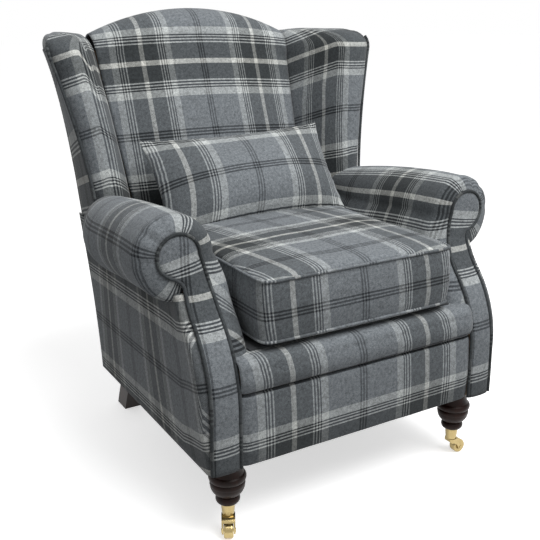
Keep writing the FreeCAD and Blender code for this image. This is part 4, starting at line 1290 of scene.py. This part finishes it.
lumbar = {
    "halfWidth": 0.258,
    "halfHeight": 0.140,
    "thickness": 0.160,
    "fullness": 0.62,  # the lower, the fuller towards the edges
    "sidePower": 2.4,
    "topPower": 2.1,
    "drawIn": 0.016,
    "lean": math.radians(36),
    "tilt": 0.022,
    "middleUp": -0.015,
    "forward": 0.032,
    "sag": 0.28,  # fuller in its lower half
    "pucker": 0.0028,
    "puckerLength": 0.031,
    "puckerReach": 0.09,
    "puckerStart": 0.015,
    "uneven": 0.003,
    "wide": 61,
    "tall": 37,
    "warpStretch": 1.05,
    "weftStretch": 1.18,
    "acrossPhase": 0.178,
    "upPhase": 0.192,
    "slant": 0.083,
    "hang": {"shift": 0.04, "stretch": 0.955, "lean": -0.08,
             "lift": 0.017, "slope": 0.065, "upStretch": 0.805},
}


def lumbarSwell(s, t, x, up, facing):
    # how far the cover stands out from the middle plane, with small puckers along the seam
    body = max(1 - abs(s) ** lumbar["sidePower"], 0.0) * max(1 - abs(t) ** lumbar["topPower"], 0.0)
    body = body ** lumbar["fullness"]
    full = lumbar["thickness"] / 2 * body * (1 - lumbar["sag"] * t)
    fromSide = 1 - abs(s)
    fromTop = (1 - abs(t)) * 0.5
    near = min(fromSide, fromTop)
    pucker = lumbar["pucker"] * math.exp(-near / lumbar["puckerReach"])
    pucker *= 1 - math.exp(-near / lumbar["puckerStart"])
    along = x if fromTop < fromSide else up
    ripple = math.sin(along * 2 * math.pi / lumbar["puckerLength"] + 3 * wander(x, up, facing, 0.05))
    return facing * (full + pucker * ripple + lumbar["uneven"] * body * wander(x, up, facing * 2.0, 0.10))


def makeLumbar():
    low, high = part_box("lumbar_cushion")
    centre = (low + high) / 2
    lean = lumbar["lean"]
    columns = [easeOut(s) for s in spread(-1, 1, lumbar["wide"])]
    levels = [easeOut(t) for t in spread(-1, 1, lumbar["tall"])]
    places = []

    def addPlace(x, up, out):
        up += lumbar["tilt"] * x
        y = centre.y - lumbar["forward"] + up * math.sin(lean) - out * math.cos(lean)
        places.append((x, y, centre.z + lumbar["middleUp"] + up * math.cos(lean) + out * math.sin(lean)))
        return len(places) - 1

    def markAt(i, j):
        across = columns[j] * lumbar["halfWidth"] * lumbar["warpStretch"]
        along = levels[i] * lumbar["halfHeight"] * lumbar["weftStretch"] - lumbar["slant"] * across
        return hung((across + lumbar["acrossPhase"], along + lumbar["upPhase"]), lumbar["hang"])

    sheets = {}
    for facing in (1, -1):
        sheets[facing] = []
        for i, t in enumerate(levels):
            row = []
            for j, s in enumerate(columns):
                onEdge = abs(s) == 1 or abs(t) == 1
                if onEdge and facing < 0:
                    row.append(sheets[1][i][j])  # both sheets share the seam
                    continue
                x = s * (lumbar["halfWidth"] - lumbar["drawIn"] * (1 - t * t))
                up = t * (lumbar["halfHeight"] - lumbar["drawIn"] * (1 - s * s) ** 0.8)
                row.append(addPlace(x, up, 0.0 if onEdge else lumbarSwell(s, t, x, up, facing)))
            sheets[facing].append(row)
    faces = []
    marks = []
    for facing, sheet in sheets.items():
        for i in range(lumbar["tall"] - 1):
            for j in range(lumbar["wide"] - 1):
                corners = [(i, j), (i, j + 1), (i + 1, j + 1), (i + 1, j)][::facing]
                faces.append([sheet[a][b] for a, b in corners])
                marks += [markAt(a, b) for a, b in corners]
    piece = coverMesh("lumbar_cushion_cover", places, faces, marks, cloth, 0.8,
                      body="loose_lumbar_cushion", slotName="plaid_cushion")
    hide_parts("lumbar_cushion")


makeLumbar()
print("lumbar cushion done")


# Floor, light and camera

studio = {
    "floorSize": 60.0,
    "floorShade": 0.30,  # how bright the floor lights the chair from below
    "floorWhite": 0.57,  # added where the camera sees the floor
    "keySize": 2.2,
    "keyPlace": (0.5, -1.5, 3.0),
    "keyPower": 110,
    "aimHeight": 0.5,
    "worldStrength": 0.44,
}


def whiteWhereSeen(tree, shaderOutput, white, output):
    # camera, mirror and glass rays see the white; everything else sees the given shader
    path = nodeIn(tree, "ShaderNodeLightPath")
    seen = mathNode(tree, "MAXIMUM", path.outputs["Is Camera Ray"], path.outputs["Is Glossy Ray"])
    seen = mathNode(tree, "MAXIMUM", seen, path.outputs["Is Transmission Ray"])
    blend = nodeIn(tree, "ShaderNodeMixShader")
    for source, socket in zip((seen, shaderOutput, white), blend.inputs):
        tree.links.new(source, socket)
    tree.links.new(blend.outputs[0], tree.nodes[output].inputs["Surface"])


def makeFloor():
    half = studio["floorSize"] / 2
    mesh = bpy.data.meshes.new("floor")
    corners = [(-half, -half, 0), (half, -half, 0), (half, half, 0), (-half, half, 0)]
    mesh.from_pydata(corners, [], [(0, 1, 2, 3)])
    floor = bpy.data.objects.new("floor", mesh)
    bpy.context.scene.collection.objects.link(floor)
    paint, tree, shader, _ = newMaterial("floorWhite", {
        "Base Color": (0.93, 0.93, 0.93, 1), "Roughness": 0.9, "Specular IOR Level": 0.1})
    mesh.materials.append(paint)
    shade = studio["floorShade"]
    dim = nodeIn(tree, "ShaderNodeBsdfDiffuse", {"Color": (shade, shade, shade, 1)})
    pale = nodeIn(tree, "ShaderNodeEmission", {"Strength": studio["floorWhite"]})
    both = nodeIn(tree, "ShaderNodeAddShader")
    tree.links.new(shader.outputs[0], both.inputs[0])
    tree.links.new(pale.outputs[0], both.inputs[1])
    whiteWhereSeen(tree, dim.outputs[0], both.outputs[0], "Material Output")


def makeLight():
    world = bpy.data.worlds.new("studio")
    bpy.context.scene.world = world
    world.use_nodes = True
    tree = world.node_tree
    background = tree.nodes["Background"]
    background.inputs["Color"].default_value = (1, 1, 1, 1)
    background.inputs["Strength"].default_value = studio["worldStrength"]
    white = nodeIn(tree, "ShaderNodeBackground", {"Color": (1, 1, 1, 1), "Strength": 1.0})
    whiteWhereSeen(tree, background.outputs[0], white.outputs[0], "World Output")
    lamp = bpy.data.lights.new("key", "AREA")
    lamp.size = studio["keySize"]
    lamp.energy = studio["keyPower"]
    key = bpy.data.objects.new("key", lamp)
    bpy.context.scene.collection.objects.link(key)
    key.location = studio["keyPlace"]
    aim = Vector((0, 0, studio["aimHeight"])) - key.location
    key.rotation_euler = aim.to_track_quat("-Z", "Y").to_euler()


view = {
    "place": (-0.9789, -1.5843, 1.0470),  # in the drawing's frame
    "turn": -30.449,
    "pitch": 17.595,
    "roll": -0.311,
    "lens": 54.024,
}


def makeCamera():
    camera = bpy.data.cameras.new("camera")
    camera.sensor_width = 36.0
    camera.sensor_fit = "HORIZONTAL"
    camera.lens = view["lens"]
    camera.clip_start = 0.05
    eye = bpy.data.objects.new("camera", camera)
    bpy.context.scene.collection.objects.link(eye)
    yaw, pitch, roll = (math.radians(view[key]) for key in ("turn", "pitch", "roll"))
    forward = Vector((-math.sin(yaw) * math.cos(pitch), math.cos(yaw) * math.cos(pitch), -math.sin(pitch)))
    right = Vector((math.cos(yaw), math.sin(yaw), 0))
    up = right.cross(forward)
    tilted = right * math.cos(roll) + up * math.sin(roll)
    upright = up * math.cos(roll) - right * math.sin(roll)
    turn = Matrix((tilted, upright, -forward)).transposed().to_4x4()
    turn.translation = Vector(view["place"]) + Vector((0, setBack, 0))
    eye.matrix_world = turn
    bpy.context.scene.camera = eye


makeFloor()
makeLight()
makeCamera()
bpy.context.scene.view_settings.view_transform = "Standard"
print("studio ready")
